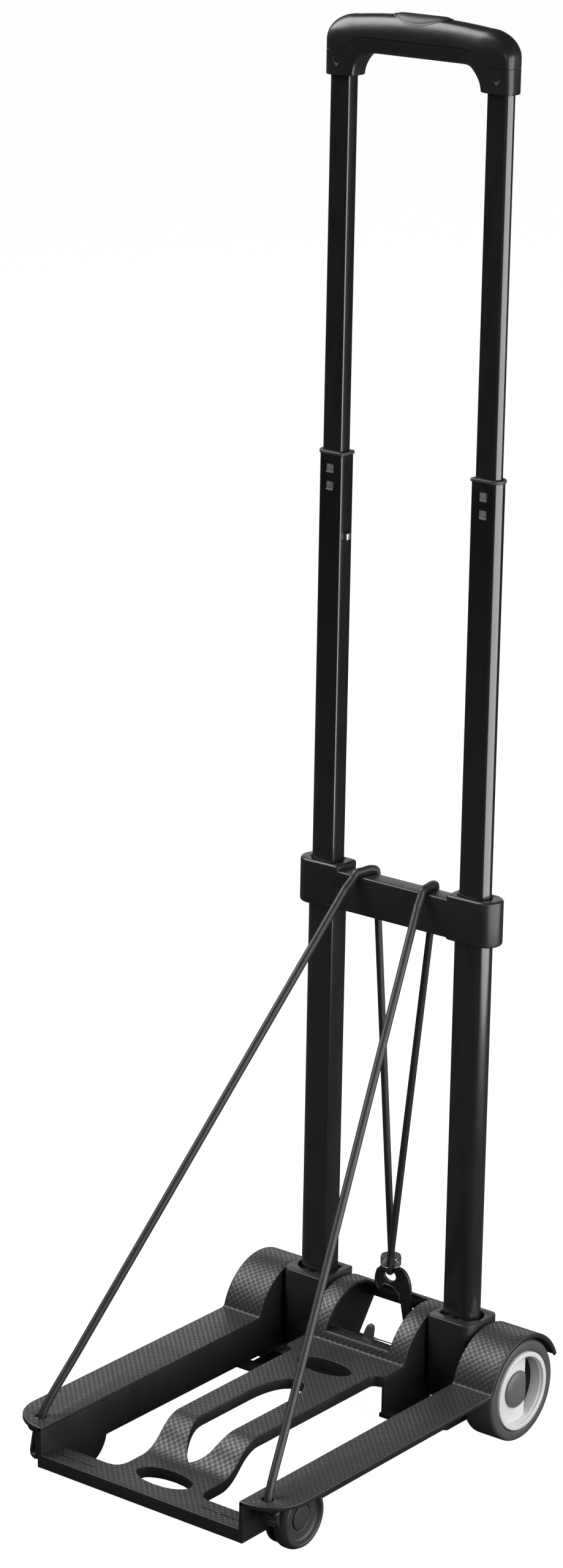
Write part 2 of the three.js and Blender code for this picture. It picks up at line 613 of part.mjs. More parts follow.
// ---- cord, hook and ferrule ---------------------------------------------------------------
const makeCord = () => {
  const top = BRIDGE.z1 + CORD_R + 0.9;
  const hole = CORD_HOLE;
  const eye = EYE_X;
  return sweep([
    [-hole.x, hole.y - 0.5, DECK_Z - SKIN - 1], [-hole.x + 0.4, hole.y + 2, DECK_Z + 3],
    [-64, -140, 213], [-33, BRIDGE.front - 7.6, top - 11], [-31, BRIDGE.front - 3.4, top - 4],
    [-30, BRIDGE.front - 0.6, top - 0.4], [-28.4, BRIDGE.front + 6, top], [-27.2, BRIDGE.rear - 3, top],
    [-26.3, BRIDGE.rear + 2.6, top - 1.6], [-25.8, BRIDGE.rear + 3.6, top - 8],
    [-15.5, 9.5, 230], [eye - 1.4, 10.4, 104], [eye - 1.2, 10.5, 95],
    [eye - 0.6, 10.2, 90.5], [eye - 0.2, 8.4, 88.2], [eye, 6.5, 87.4], [eye + 0.2, 4.6, 88.2],
    [eye + 0.6, 2.8, 90.5], [eye + 1.2, 2.5, 95], [eye + 1.4, 2.6, 104], [8.5, 6, 230],
    [23.8, BRIDGE.rear + 3.6, top - 8], [24.2, BRIDGE.rear + 2.6, top - 1.6],
    [25.4, BRIDGE.rear - 3, top], [27.8, BRIDGE.front + 6, top], [30.6, BRIDGE.front - 0.6, top - 0.4],
    [32.2, BRIDGE.front - 3.4, top - 4], [34, BRIDGE.front - 7.6, top - 11], [66, -140, 213],
    [hole.x - 0.4, hole.y + 2, DECK_Z + 3], [hole.x, hole.y - 0.5, DECK_Z - SKIN - 1],
  ], CORD_R, 3, 6);
};

const makeKnot = () => {
  const geometry = new THREE.SphereGeometry(1, 10, 8);
  geometry.scale(6.2, 5, 3.6);
  geometry.translate(CORD_HOLE.x, CORD_HOLE.y, DECK_Z - SKIN - 5.4);
  return toSolid(geometry);
};

const makeFerrule = () => cut(
  cylinder('z', 7.4, 96.1, 103, [EYE_X, 6.5], 24),
  cylinder('z', 6.7, 95, 104, [EYE_X, 6.5], 24),
);

// Flat hook: an eye at the top, a short lip on one side, and on the other a leg whose claw
// turns back under the crossbar's rear edge.
const makeHook = () => {
  const shape = new THREE.Shape();
  shape.moveTo(74.8, -15.5);
  shape.bezierCurveTo(79, -19, 86, -18.2, 91, -14.8);
  shape.quadraticCurveTo(94.5, -12.5, 95.4, -9);
  shape.lineTo(95.8, 3);
  shape.bezierCurveTo(95.5, 9, 89, 13.4, 80, 13.7);
  shape.lineTo(66, 14.6);
  shape.lineTo(45, 15.5);
  shape.lineTo(45, 8);
  shape.lineTo(57, 7.6);
  shape.lineTo(70, 5);
  shape.bezierCurveTo(76, 4.2, 79.4, 0, 79.4, -6.5);
  shape.quadraticCurveTo(79, -11, 74.6, -13.2);
  const plate = extrude(shape, 'y', HOOK.y0, HOOK.y1, 6);
  const eye = new THREE.Shape();
  eye.absellipse(87.6, EYE_X, 4, 5.2, 0, 2 * Math.PI);
  const claw = extrude(outline([
    [HOOK.y0, 45], [REAR_Y, 45], [REAR_Y, 60], [REAR_Y - 3, 60], [REAR_Y - 3, 48.5], [HOOK.y0, 48.5],
  ]), 'x', 5.2, 10.8);
  return join(cut(plate, extrude(eye, 'y', 0, 12, 10)), claw);
};

// ---- scene graph --------------------------------------------------------------------------
const COLOURS = {
  shell: { color: 0x1c1c1d, roughness: 0.45, metalness: 0 },
  painted: { color: 0x111112, roughness: 0.3, metalness: 0.4 },
  dark: { color: 0x2a2a2c, roughness: 0.55, metalness: 0 },
  tyre: { color: 0x3f3f42, roughness: 0.75, metalness: 0 },
  silver: { color: 0xc3c4c6, roughness: 0.35, metalness: 0.2 },
  cap: { color: 0x4d4d50, roughness: 0.5, metalness: 0 },
  steel: { color: 0xa8abad, roughness: 0.3, metalness: 0.9 },
  clear: { color: 0xe8eef0, roughness: 0.1, metalness: 0 },
  cord: { color: 0x151515, roughness: 0.8, metalness: 0 },
};

const cart = new THREE.Group();
const model = new THREE.Group();
model.position.y = SHIFT_Y;
cart.add(model);

const place = (name, look, solid) => {
  const mesh = new THREE.Mesh(toGeometry(solid), new THREE.MeshStandardMaterial(COLOURS[look]));
  mesh.name = name;
  model.add(mesh);
};

const placePair = (name, look, solid) => {
  place(`${name}_right`, look, solid);
  place(`${name}_left`, look, mirrored(solid));
};

place('platform', 'shell', makePlatform());
place('rear_axle', 'steel', makeAxle());
placePair('axle_washer', 'steel', makeAxleWasher());
placePair('rear_tyre', 'tyre', makeTyre());
placePair('rear_hub', 'silver', makeHub());
placePair('hub_cap', 'cap', makeHubCap());
placePair('front_wheel', 'dark', makeFrontWheel());
placePair('front_wheel_cap', 'dark', makeFrontWheelCap());
placePair('front_axle', 'steel', makeFrontAxle());

placePair('socket', 'shell', makeSocket());
placePair('socket_pin', 'steel', makeSocketPin());
placePair('lower_tube', 'painted', makeLowerTube());
place('brace', 'shell', makeBrace());
placePair('brace_screw', 'steel', makeBraceScrew());

placePair('middle_tube', 'painted', makeMiddleTube());
placePair('middle_collar', 'dark', makeCollar());
placePair('middle_glide', 'dark', makeGlide(MIDDLE, LOWER, 331, 349.5));
placePair('middle_latch', 'steel', makeLatch(MIDDLE, LATCH_Z.middle, 49.5, 9.5, 4.5));
placePair('middle_latch_spring', 'steel', makeLatchSpring(MIDDLE, LATCH_Z.middle));

placePair('upper_tube', 'painted', makeUpperTube());
placePair('upper_glide', 'dark', makeGlide(UPPER, MIDDLE, 606, 612.5));
placePair('upper_latch', 'steel', makeLatch(UPPER, LATCH_Z.upper, 51, 6, 8));
placePair('upper_latch_spring', 'steel', makeLatchSpring(UPPER, LATCH_Z.upper));
place('handle_top_shell', 'shell', makeHandleTop());
place('handle_bottom_shell', 'shell', makeHandleBottom());
placePair('handle_screw', 'steel', makeHandleScrew());
place('release_button', 'dark', makeButton());
place('release_yoke', 'dark', makeYoke());
place('button_spring', 'steel', makeButtonSpring());

place('elastic_cord', 'cord', makeCord());
placePair('cord_knot', 'cord', makeKnot());
place('cord_ferrule', 'clear', makeFerrule());
place('cord_hook', 'shell', makeHook());

export default cart;
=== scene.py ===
"""Looks of the folding luggage cart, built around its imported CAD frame."""
import json
import math

import bmesh
import bpy
from mathutils import Matrix, Vector


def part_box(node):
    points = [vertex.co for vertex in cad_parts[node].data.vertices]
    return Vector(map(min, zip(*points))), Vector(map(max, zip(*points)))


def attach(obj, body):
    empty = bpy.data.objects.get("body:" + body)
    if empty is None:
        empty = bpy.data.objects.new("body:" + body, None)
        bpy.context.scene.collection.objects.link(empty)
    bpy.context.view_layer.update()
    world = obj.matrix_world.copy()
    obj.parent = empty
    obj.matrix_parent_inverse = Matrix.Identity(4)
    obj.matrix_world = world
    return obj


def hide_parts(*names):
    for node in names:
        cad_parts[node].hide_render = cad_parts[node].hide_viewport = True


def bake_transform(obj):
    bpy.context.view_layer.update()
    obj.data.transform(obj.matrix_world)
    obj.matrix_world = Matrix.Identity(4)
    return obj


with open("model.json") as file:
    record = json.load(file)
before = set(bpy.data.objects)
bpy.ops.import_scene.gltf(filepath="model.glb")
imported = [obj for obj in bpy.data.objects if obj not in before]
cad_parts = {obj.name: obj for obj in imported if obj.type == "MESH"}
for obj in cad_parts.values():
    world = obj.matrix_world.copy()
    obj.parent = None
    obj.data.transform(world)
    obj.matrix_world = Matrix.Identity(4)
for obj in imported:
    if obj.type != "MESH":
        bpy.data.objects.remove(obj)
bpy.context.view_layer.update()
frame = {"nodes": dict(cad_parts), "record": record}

# ---- places and sizes -----------------------------------------------------------------------
# Shapes are drawn in millimetres, with y counted from the rear axle and z from the ground.
MM = 0.001
JOINTS = {j["name"]: j for j in frame["record"]["behaviour"]["joints"]}
AXLE_Y, AXLE_Z = (c / MM for c in JOINTS["platform_fold"]["pos_m"][1:])
SIDES = {"right": 1, "left": -1}


def span(node):
    """Lowest and highest corner of a CAD node in the drawing's millimetres."""
    low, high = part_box(node)
    return [Vector((c[0] / MM, c[1] / MM - AXLE_Y, c[2] / MM)) for c in (low, high)]


def centre_of(node):
    low, high = span(node)
    return (low + high) / 2


def to_world(p):
    return Vector((p[0] * MM, (p[1] + AXLE_Y) * MM, p[2] * MM))


# The platform's outside, deck, skins, walls and rails.
PLATFORM_LOW, PLATFORM_HIGH = span("platform")
FRONT_Y = PLATFORM_LOW.y
RAIL_OUT = PLATFORM_HIGH.x
ARCH_R = PLATFORM_HIGH.z - AXLE_Z
DECK_Z = 47.5
SKIN = 2.5
FLOOR_Z = 18.0
RAIL_IN = 85.0
WALL = 3.3
CORNER_R = 30.0
# The arches over the wheels and over the middle, as angles about the axle.
ARCH_FOOT = math.asin((DECK_Z - AXLE_Z) / ARCH_R)
ARCH_TAIL = math.radians(157)
FOOT_Y = -ARCH_R * math.cos(ARCH_FOOT)
ARCH_WALL_REAR = 13.0
# The front bar, the deck's legs, and the hump with its window.
BAR_REAR_Y = -257.0
BAR_TOP = 27.3
LEG_X = 34.0
HUMP_X = 43.0
WINDOW_X = 28.0
WINDOW_FROM = math.radians(24)
WINDOW_TO = math.radians(104)
# The rear wheels' hub, the brace and the cord.
HUB = Vector((0, AXLE_Z))
BLOCK_IN = 45.5
BRIDGE_FRONT = -10.5
BRIDGE_REAR = 4.5
BRIDGE_TOP = span("brace")[1].z - 3.7
CORD_R = 2.6
CORD_HOLE = Vector((97.5, -263.0, DECK_Z))
CORD_HOLE_R = 4.0

# ---- materials ------------------------------------------------------------------------------

UV_NAME = "mm"
FINE = 2600  # features per metre of moulded plastic's finest grain

class Shader:
    """A small builder for one Principled material."""

    def __init__(self, name, colour, roughness, **inputs):
        self.material = bpy.data.materials.new(name)
        self.material.use_nodes = True
        self.tree = self.material.node_tree
        self.surface = self.tree.nodes["Principled BSDF"]
        self.surface.inputs["Base Color"].default_value = (*colour, 1)
        self.surface.inputs["Roughness"].default_value = roughness
        for key, value in inputs.items():
            self.surface.inputs[key.replace("_", " ")].default_value = value

    def node(self, kind, **settings):
        made = self.tree.nodes.new(kind)
        for key, value in settings.items():
            setattr(made, key, value)
        return made

    def link(self, source, target):
        self.tree.links.new(source, target)
        return source

    def math(self, operation, a, b=None, clamp=False):
        made = self.node("ShaderNodeMath", operation=operation, use_clamp=clamp)
        for slot_index, value in enumerate((a, b)):
            if value is None:
                continue
            if isinstance(value, (int, float)):
                made.inputs[slot_index].default_value = value
            else:
                self.link(value, made.inputs[slot_index])
        return made.outputs[0]

    def noise(self, scale, detail=3.0, stretch=(1, 1, 1)):
        """Noise in object space; scale counts features per metre."""
        place = self.node("ShaderNodeTexCoord").outputs["Object"]
        mapping = self.node("ShaderNodeMapping")
        mapping.inputs["Scale"].default_value = stretch
        self.link(place, mapping.inputs["Vector"])
        made = self.node("ShaderNodeTexNoise")
        made.inputs["Scale"].default_value = scale
        made.inputs["Detail"].default_value = detail
        self.link(mapping.outputs[0], made.inputs["Vector"])
        return made.outputs["Fac"]

    def remap(self, value, low, high, to_low, to_high):
        made = self.node("ShaderNodeMapRange")
        self.link(value, made.inputs["Value"])
        for key, number in zip(("From Min", "From Max", "To Min", "To Max"), (low, high, to_low, to_high)):
            made.inputs[key].default_value = number
        return made.outputs["Result"]

    def vary_roughness(self, value, low, high):
        self.link(self.remap(value, 0.3, 0.7, low, high), self.surface.inputs["Roughness"])

    def vary_colour(self, value, dark, light):
        made = self.node("ShaderNodeMix", data_type="RGBA")
        self.link(value, made.inputs["Factor"])
        made.inputs["A"].default_value = (*dark, 1)
        made.inputs["B"].default_value = (*light, 1)
        self.link(made.outputs["Result"], self.surface.inputs["Base Color"])
        return made

    def worn_edges(self, base, dark, light):
        """Painted edge highlight: the colour lightens where the surface is sharply convex, in noisy patches.
        """
        edge = self.remap(self.node("ShaderNodeNewGeometry").outputs["Pointiness"], 0.52, 0.62, 0, 0.7)
        patch = self.math("MULTIPLY", edge, base, clamp=True)
        return self.vary_colour(patch, dark, light)

    def millimetre_uv(self):
        """The x and y outputs of the UVs, which hold millimetres."""
        parts = self.node("ShaderNodeSeparateXYZ")
        self.link(self.node("ShaderNodeUVMap", uv_map=UV_NAME).outputs[0], parts.inputs[0])
        return parts.outputs["X"], parts.outputs["Y"]

    def bump(self, *heights):
        """Heights are (value, strength, millimetres) triples, laid one over another."""
        previous = None
        for value, strength, size in heights:
            made = self.node("ShaderNodeBump")
            made.inputs["Strength"].default_value = strength
            made.inputs["Distance"].default_value = size * MM
            self.link(value, made.inputs["Height"])
            if previous:
                self.link(previous, made.inputs["Normal"])
            previous = made.outputs[0]
        self.link(previous, self.surface.inputs["Normal"])


def plastic(name, colour, low, high, grain=0.012):
    """Moulded plastic with a fine grain; roughness varies between low and high."""
    s = Shader(name, colour, low)
    s.vary_roughness(s.noise(28), low, high)
    # Sharp convex edges are lightened toward this colour as a painted highlight.
    light = tuple(c * 1.6 + 0.004 for c in colour)
    s.worn_edges(s.noise(160), colour, light)
    s.bump((s.noise(FINE, 2), 0.35, grain * 4), (s.noise(700, 2), 0.25, grain * 3))
    return s.material


def dimpled(name, colour):
    """Black plastic with a quincunx of shallow round dimples, laid out in millimetres by the UVs."""
    pitch = 4.9
    dot = 0.29  # a dimple's radius, in pitches
    s = Shader(name, colour, 0.4)
    uv = s.millimetre_uv()

    def lattice(shift):
        """Distance to the nearest point of a square lattice, in pitches."""
        cell = []
        for along in uv:
            cells = s.math("ADD", s.math("DIVIDE", along, pitch), shift)
            cell.append(s.math("SUBTRACT", s.math("FRACT", cells), 0.5))
        squares = [s.math("MULTIPLY", c, c) for c in cell]
        return s.math("SQRT", s.math("ADD", *squares))

    distance = s.math("MINIMUM", lattice(1000.0), lattice(1000.5))
    mask = s.remap(distance, dot - 0.1, dot + 0.07, 1, 0)
    rough = s.math("ADD", s.math("MULTIPLY", mask, 0.2), s.remap(s.noise(40), 0.3, 0.7, 0.32, 0.42))
    s.link(rough, s.surface.inputs["Roughness"])
    # The dimples are painted darker than the field, as painted shade in their hollows.
    s.vary_colour(mask, colour, tuple(c * 0.3 for c in colour))
    depth = s.math("MULTIPLY", mask, -1.0)
    s.bump((s.noise(FINE, 2), 0.3, 0.04), (depth, 0.5, 0.25))
    return s.material


def painted_steel():
    """Glossy black paint, streaked a little along the tube."""
    paint = (0.0062, 0.0062, 0.0065)
    s = Shader("tube_paint", paint, 0.2, IOR=1.7, Coat_Weight=0.3, Coat_Roughness=0.08)
    s.vary_roughness(s.noise(60, 4, (1, 1, 0.12)), 0.15, 0.22)
    # Sharp convex edges of the paint are lightened as a painted highlight.
    s.worn_edges(s.noise(120, 3, (1, 1, 0.3)), paint, (0.02, 0.02, 0.021))
    s.bump((s.noise(1500, 2), 0.2, 0.03))
    return s.material


def tread_plastic():
    """Dull grey of the rear wheels' treads."""
    s = Shader("tyre_grey", (0.05, 0.05, 0.053), 0.6)
    s.vary_roughness(s.noise(50), 0.5, 0.68)
    s.vary_colour(s.noise(90, 4), (0.044, 0.044, 0.047), (0.06, 0.06, 0.064))
    s.bump((s.noise(1900, 3), 0.45, 0.06))
    return s.material


def silver_plastic():
    s = Shader("rim_silver", (0.6, 0.6, 0.61), 0.33, Metallic=0.15)
    s.vary_roughness(s.noise(45), 0.28, 0.42)
    s.vary_colour(s.noise(70, 4), (0.55, 0.55, 0.56), (0.64, 0.64, 0.65))
    s.bump((s.noise(2200, 2), 0.2, 0.03))
    return s.material


def clear_plastic():
    s = Shader("clear_plastic", (0.96, 0.97, 0.98), 0.06, Transmission_Weight=1.0, IOR=1.47)
    s.vary_roughness(s.noise(90), 0.03, 0.1)
    s.bump((s.noise(400, 2), 0.15, 0.05))
    return s.material


def zinc_steel():
    s = Shader("zinc_steel", (0.62, 0.63, 0.65), 0.3, Metallic=1.0)
    s.vary_roughness(s.noise(220, 4), 0.2, 0.42)
    s.bump((s.noise(1500, 3, (1, 1, 6)), 0.2, 0.03))
    return s.material


def braided_cord():
    """Black braid: two crossing sets of strands wound round the cord, drawn from its own UVs."""
    strands = 6
    lay = 6.0  # millimetres along the cord for one turn of a strand
    s = Shader("cord_braid", (0.01, 0.01, 0.01), 0.42, Sheen_Weight=0.08, Sheen_Roughness=0.4)
    turned, length = s.millimetre_uv()
    around = s.math("MULTIPLY", turned, strands)
    along = s.math("DIVIDE", length, lay / strands)

    def wave(value):
        return s.math("SINE", s.math("MULTIPLY", value, 2 * math.pi))

    over = wave(s.math("ADD", around, along))
    under = wave(s.math("SUBTRACT", around, along))
    weave = s.remap(s.math("MAXIMUM", over, under), -0.6, 1, 0, 1)
    # The braid's grooves are painted darker and its crests lighter: painted shade following the relief.
    s.vary_colour(weave, (0.006, 0.006, 0.006), (0.014, 0.014, 0.014))
    s.bump((s.noise(2500, 2), 0.3, 0.05), (weave, 0.4, 0.1))
    return s.material


BLACK = (0.0125, 0.0125, 0.013)
MAT = {
    "black": plastic("black_plastic", BLACK, 0.32, 0.46),
    "handle": plastic("handle_plastic", (0.013, 0.013, 0.0135), 0.24, 0.33, 0.004),
    "button": plastic("button_plastic", (0.016, 0.016, 0.017), 0.42, 0.52, 0.01),
    "brace": plastic("brace_plastic", BLACK, 0.3, 0.4, 0.006),
    "dark": plastic("dark_plastic", (0.027, 0.027, 0.028), 0.4, 0.52),
    "tab": plastic("tab_plastic", (0.1, 0.1, 0.1), 0.4, 0.5),
    "cap": plastic("cap_plastic", (0.085, 0.085, 0.088), 0.42, 0.55, 0.01),
    "tread": dimpled("dimpled_plastic", (0.026, 0.026, 0.0265)),
    "tube": painted_steel(),
    "tyre": tread_plastic(),
    "silver": silver_plastic(),
    "clear": clear_plastic(),
    "steel": zinc_steel(),
    "cord": braided_cord(),
}

# ---- mesh helpers ---------------------------------------------------------------------------

SAME_PLACE = 0.004

# Where a flat shape's two directions and its thickness lie, by the axis of the thickness.
PLANES = {
    "z": lambda a, b, c: (a, b, c),
    "x": lambda a, b, c: (c, a, b),
    "y": lambda a, b, c: (a, c, b),
}


def turns(count):
    return [2 * math.pi * i / count for i in range(count)]


def steps(start, end, count):
    return [start + (end - start) * i / count for i in range(count + 1)]


def finish(bm, name, body, look, stands_for=(), sharp=38, bevel=0.0, bevel_angle=40):
    """Turns a millimetre bmesh into a finished piece that rides on a body."""
    bmesh.ops.remove_doubles(bm, verts=bm.verts, dist=SAME_PLACE)
    bmesh.ops.recalc_face_normals(bm, faces=bm.faces)
    if bevel:
        edges = [e for e in bm.edges if e.is_manifold and e.calc_face_angle(0) > math.radians(bevel_angle)]
        bmesh.ops.bevel(bm, geom=edges, offset=bevel, segments=3, profile=0.5,
                        affect="EDGES", clamp_overlap=True, material=-1)
    for vertex in bm.verts:
        vertex.co = to_world(vertex.co)
    mesh = bpy.data.meshes.new(name)
    bm.to_mesh(mesh)
    bm.free()
    looks = [look] if isinstance(look, str) else look
    for key in looks:
        mesh.materials.append(MAT[key])
    for polygon in mesh.polygons:
        polygon.use_smooth = True
    mesh.set_sharp_from_angle(angle=math.radians(sharp))
    piece = bpy.data.objects.new(name, mesh)
    bpy.context.scene.collection.objects.link(piece)
    if body:
        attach(piece, body)
    if stands_for:
        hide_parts(*stands_for)
    return piece


def verts_in(geometry):
    return [g for g in geometry if isinstance(g, bmesh.types.BMVert)]


def loft(rings, caps=True):
    """Skins a row of equal rings. A ring is a list of points."""
    bm = bmesh.new()
    rows = [[bm.verts.new(p) for p in ring] for ring in rings]
    for a, b in zip(rows, rows[1:]):
        for i in range(len(a)):
            j = (i + 1) % len(a)
            bm.faces.new((a[i], a[j], b[j], b[i]))
    if caps:
        bm.faces.new(rows[0][::-1])
        bm.faces.new(rows[-1])
    return bm


def hoop(rings):
    """Skins rings round a closed loop, with no ends."""
    return loft([*rings, rings[0]], caps=False)


def lathe(profile, axis, centre, segments=96):
    """Turns a closed (radius, place along the axis) profile about the X, Y or Z direction."""
    rings = []
    for t in turns(segments):
        u, v = math.cos(t), math.sin(t)
        rings.append([PLANES[axis](centre[0] + r * u, centre[1] + r * v, along) for r, along in profile])
    return hoop(rings)


def arc(cx, cy, radius, start, end, count=10):
    """Points on an arc, angles in degrees."""
    angles = [math.radians(a) for a in steps(start, end, count)]
    return [(cx + radius * math.cos(a), cy + radius * math.sin(a)) for a in angles]


def bezier(p0, p1, p2, p3, count):
    points = []
    for i in range(count + 1):
        t = i / count
        u = 1 - t
        weights = (u ** 3, 3 * u * u * t, 3 * u * t * t, t ** 3)
        points.append(tuple(sum(w * p[k] for w, p in zip(weights, (p0, p1, p2, p3))) for k in (0, 1)))
    return points


def rounded_profile(points, radius, count=4):
    """Rounds every corner of a closed profile."""
    result = []
    total = len(points)
    for i, point in enumerate(points):
        here = Vector(point)
        before = Vector(points[i - 1])
        after = Vector(points[(i + 1) % total])
        cut = min(radius, (before - here).length / 2.2, (after - here).length / 2.2)
        start = here + (before - here).normalized() * cut
        end = here + (after - here).normalized() * cut
        for k in range(count + 1):
            t = k / count
            result.append(tuple(start * (1 - t) ** 2 + here * 2 * t * (1 - t) + end * t * t))
    return result


def box_profile(low_a, high_a, low_b, high_b, radius, count=4):
    corners = [(low_a, low_b), (high_a, low_b), (high_a, high_b), (low_a, high_b)]
    return rounded_profile(corners, radius, count)


def d_outline(width, depth, centre, corner=1.0, count=14):
    """Flat towards the cart's middle and half round outside; the flat side's corners are rounded."""
    r = depth / 2
    flat = centre - width / 2
    return [
        *arc(flat + corner, -r + corner, corner, 180, 270, 4),
        *arc(flat + width - r, 0, r, -90, 90, count),
        *arc(flat + corner, r - corner, corner, 90, 180, 4),
    ]


def plate(outlines, axis, low, high, bevel=0.5, segments=3, top_uv=False):
    """A flat plate with rounded edges. The first outline is its rim and the others are holes."""
    curve = bpy.data.curves.new("plate", "CURVE")
    curve.dimensions = "2D"
    curve.fill_mode = "BOTH"
    curve.extrude = (high - low) / 2 - bevel
    curve.bevel_depth = bevel
    curve.bevel_resolution = segments - 1
    curve.offset = -bevel
    for points in outlines:
        spline = curve.splines.new("POLY")
        spline.points.add(len(points) - 1)
        for target, (a, b) in zip(spline.points, points):
            target.co = (a, b, 0, 1)
        spline.use_cyclic_u = True
    holder = bpy.data.objects.new("plate", curve)
    bpy.context.scene.collection.objects.link(holder)
    mesh = bpy.data.meshes.new_from_object(holder.evaluated_get(bpy.context.evaluated_depsgraph_get()))
    bm = bmesh.new()
    bm.from_mesh(mesh)
    bpy.data.objects.remove(holder)
    bpy.data.curves.remove(curve)
    bpy.data.meshes.remove(mesh)
    middle = (low + high) / 2
    for vertex in bm.verts:
        a, b, c = vertex.co
        vertex.co = PLANES[axis](a, b, c + middle)
    bmesh.ops.remove_doubles(bm, verts=bm.verts, dist=SAME_PLACE)
    if top_uv:
        uv = bm.loops.layers.uv.new(UV_NAME)
        bmesh.ops.recalc_face_normals(bm, faces=bm.faces)
        for face in bm.faces:
            face.material_index = 1 if face.normal.z > 0.9 else 0
            for corner in face.loops:
                corner[uv].uv = corner.vert.co.xy
    return bm


def rounded_box(low, high, radius, segments=3):
    bm = bmesh.new()
    bmesh.ops.create_cube(bm, size=1)
    size = Vector(high) - Vector(low)
    centre = (Vector(high) + Vector(low)) / 2
    for vertex in bm.verts:
        vertex.co = Vector([c * s for c, s in zip(vertex.co, size)]) + centre
    bmesh.ops.bevel(bm, geom=bm.edges[:], offset=radius, segments=segments, profile=0.5, affect="EDGES")
    return bm


def merged(parts):
    """Several meshes as one."""
    bm = bmesh.new()
    for part in parts:
        mesh = bpy.data.meshes.new("part")
        part.to_mesh(mesh)
        part.free()
        bm.from_mesh(mesh)
        bpy.data.meshes.remove(mesh)
    return bm


def mirror(bm):
    """Turns a right-hand mesh into the left-hand one."""
    for vertex in bm.verts:
        vertex.co.x = -vertex.co.x
    bmesh.ops.reverse_faces(bm, faces=bm.faces)
    return bm


def both(make, name, body, look, stands_for=(), **options):
    """Builds a right-hand piece and its mirror image. A body or node name may hold {side}."""
    pieces = []
    for side, sign in SIDES.items():
        bm = make()
        if sign < 0:
            mirror(bm)
        nodes = [n.format(side=side) for n in stands_for]
        pieces.append(finish(bm, f"{name}_{side}", body.format(side=side), look, nodes, **options))
    return pieces


# ---- platform -------------------------------------------------------------------------------


def arch_point(angle, radius):
    return (-radius * math.cos(angle), AXLE_Z + radius * math.sin(angle))


def arch_points(start, end, radius, count=20):
    return [arch_point(a, radius) for a in steps(start, end, count)]


def arch_skin(columns, angles, window=None):
    """Part of a cylinder about the axle, SKIN thick, dimpled outside. window(x, angle) drops cells."""
    bm = bmesh.new()
    uv = bm.loops.layers.uv.new(UV_NAME)
    rows = [[bm.verts.new((x, *arch_point(a, ARCH_R))) for x in columns] for a in angles]
    lengths = [FOOT_Y + ARCH_R * (a - ARCH_FOOT) for a in angles]
    for r in range(len(angles) - 1):
        for c in range(len(columns) - 1):
            x = (columns[c] + columns[c + 1]) / 2
            if window and window(x, (angles[r] + angles[r + 1]) / 2):
                continue
            face = bm.faces.new((rows[r][c], rows[r][c + 1], rows[r + 1][c + 1], rows[r + 1][c]))
            face.material_index = 1
            for corner, (row, column) in zip(face.loops, ((r, c), (r, c + 1), (r + 1, c + 1), (r + 1, c))):
                corner[uv].uv = (columns[column], lengths[row])
    loose = [v for v in bm.verts if not v.link_faces]
    bmesh.ops.delete(bm, geom=loose, context="VERTS")
    outside = list(bm.faces)
    made = bmesh.ops.extrude_face_region(bm, geom=outside, use_keep_orig=True)["geom"]
    centre = Vector((0, 0, AXLE_Z))
    for vertex in verts_in(made):
        radial = Vector((0, vertex.co.y, vertex.co.z)) - centre
        vertex.co -= radial.normalized() * SKIN
    for face in bm.faces:
        radial = face.calc_center_median() - centre
        radial.x = 0
        face.material_index = 1 if radial.length > ARCH_R - 0.3 else 0
    return bm


def arch_wall_outline(front_y, top):
    """A wall under the deck that rises into an arch; its edge lies inside the skin above it."""
    return [
        (front_y, FLOOR_Z), (front_y, top), (FOOT_Y - 1, top),
        *arch_points(ARCH_FOOT, ARCH_TAIL, ARCH_R - 1.2, 30), (ARCH_WALL_REAR, FLOOR_Z),
    ]


STUB_R = 2.9


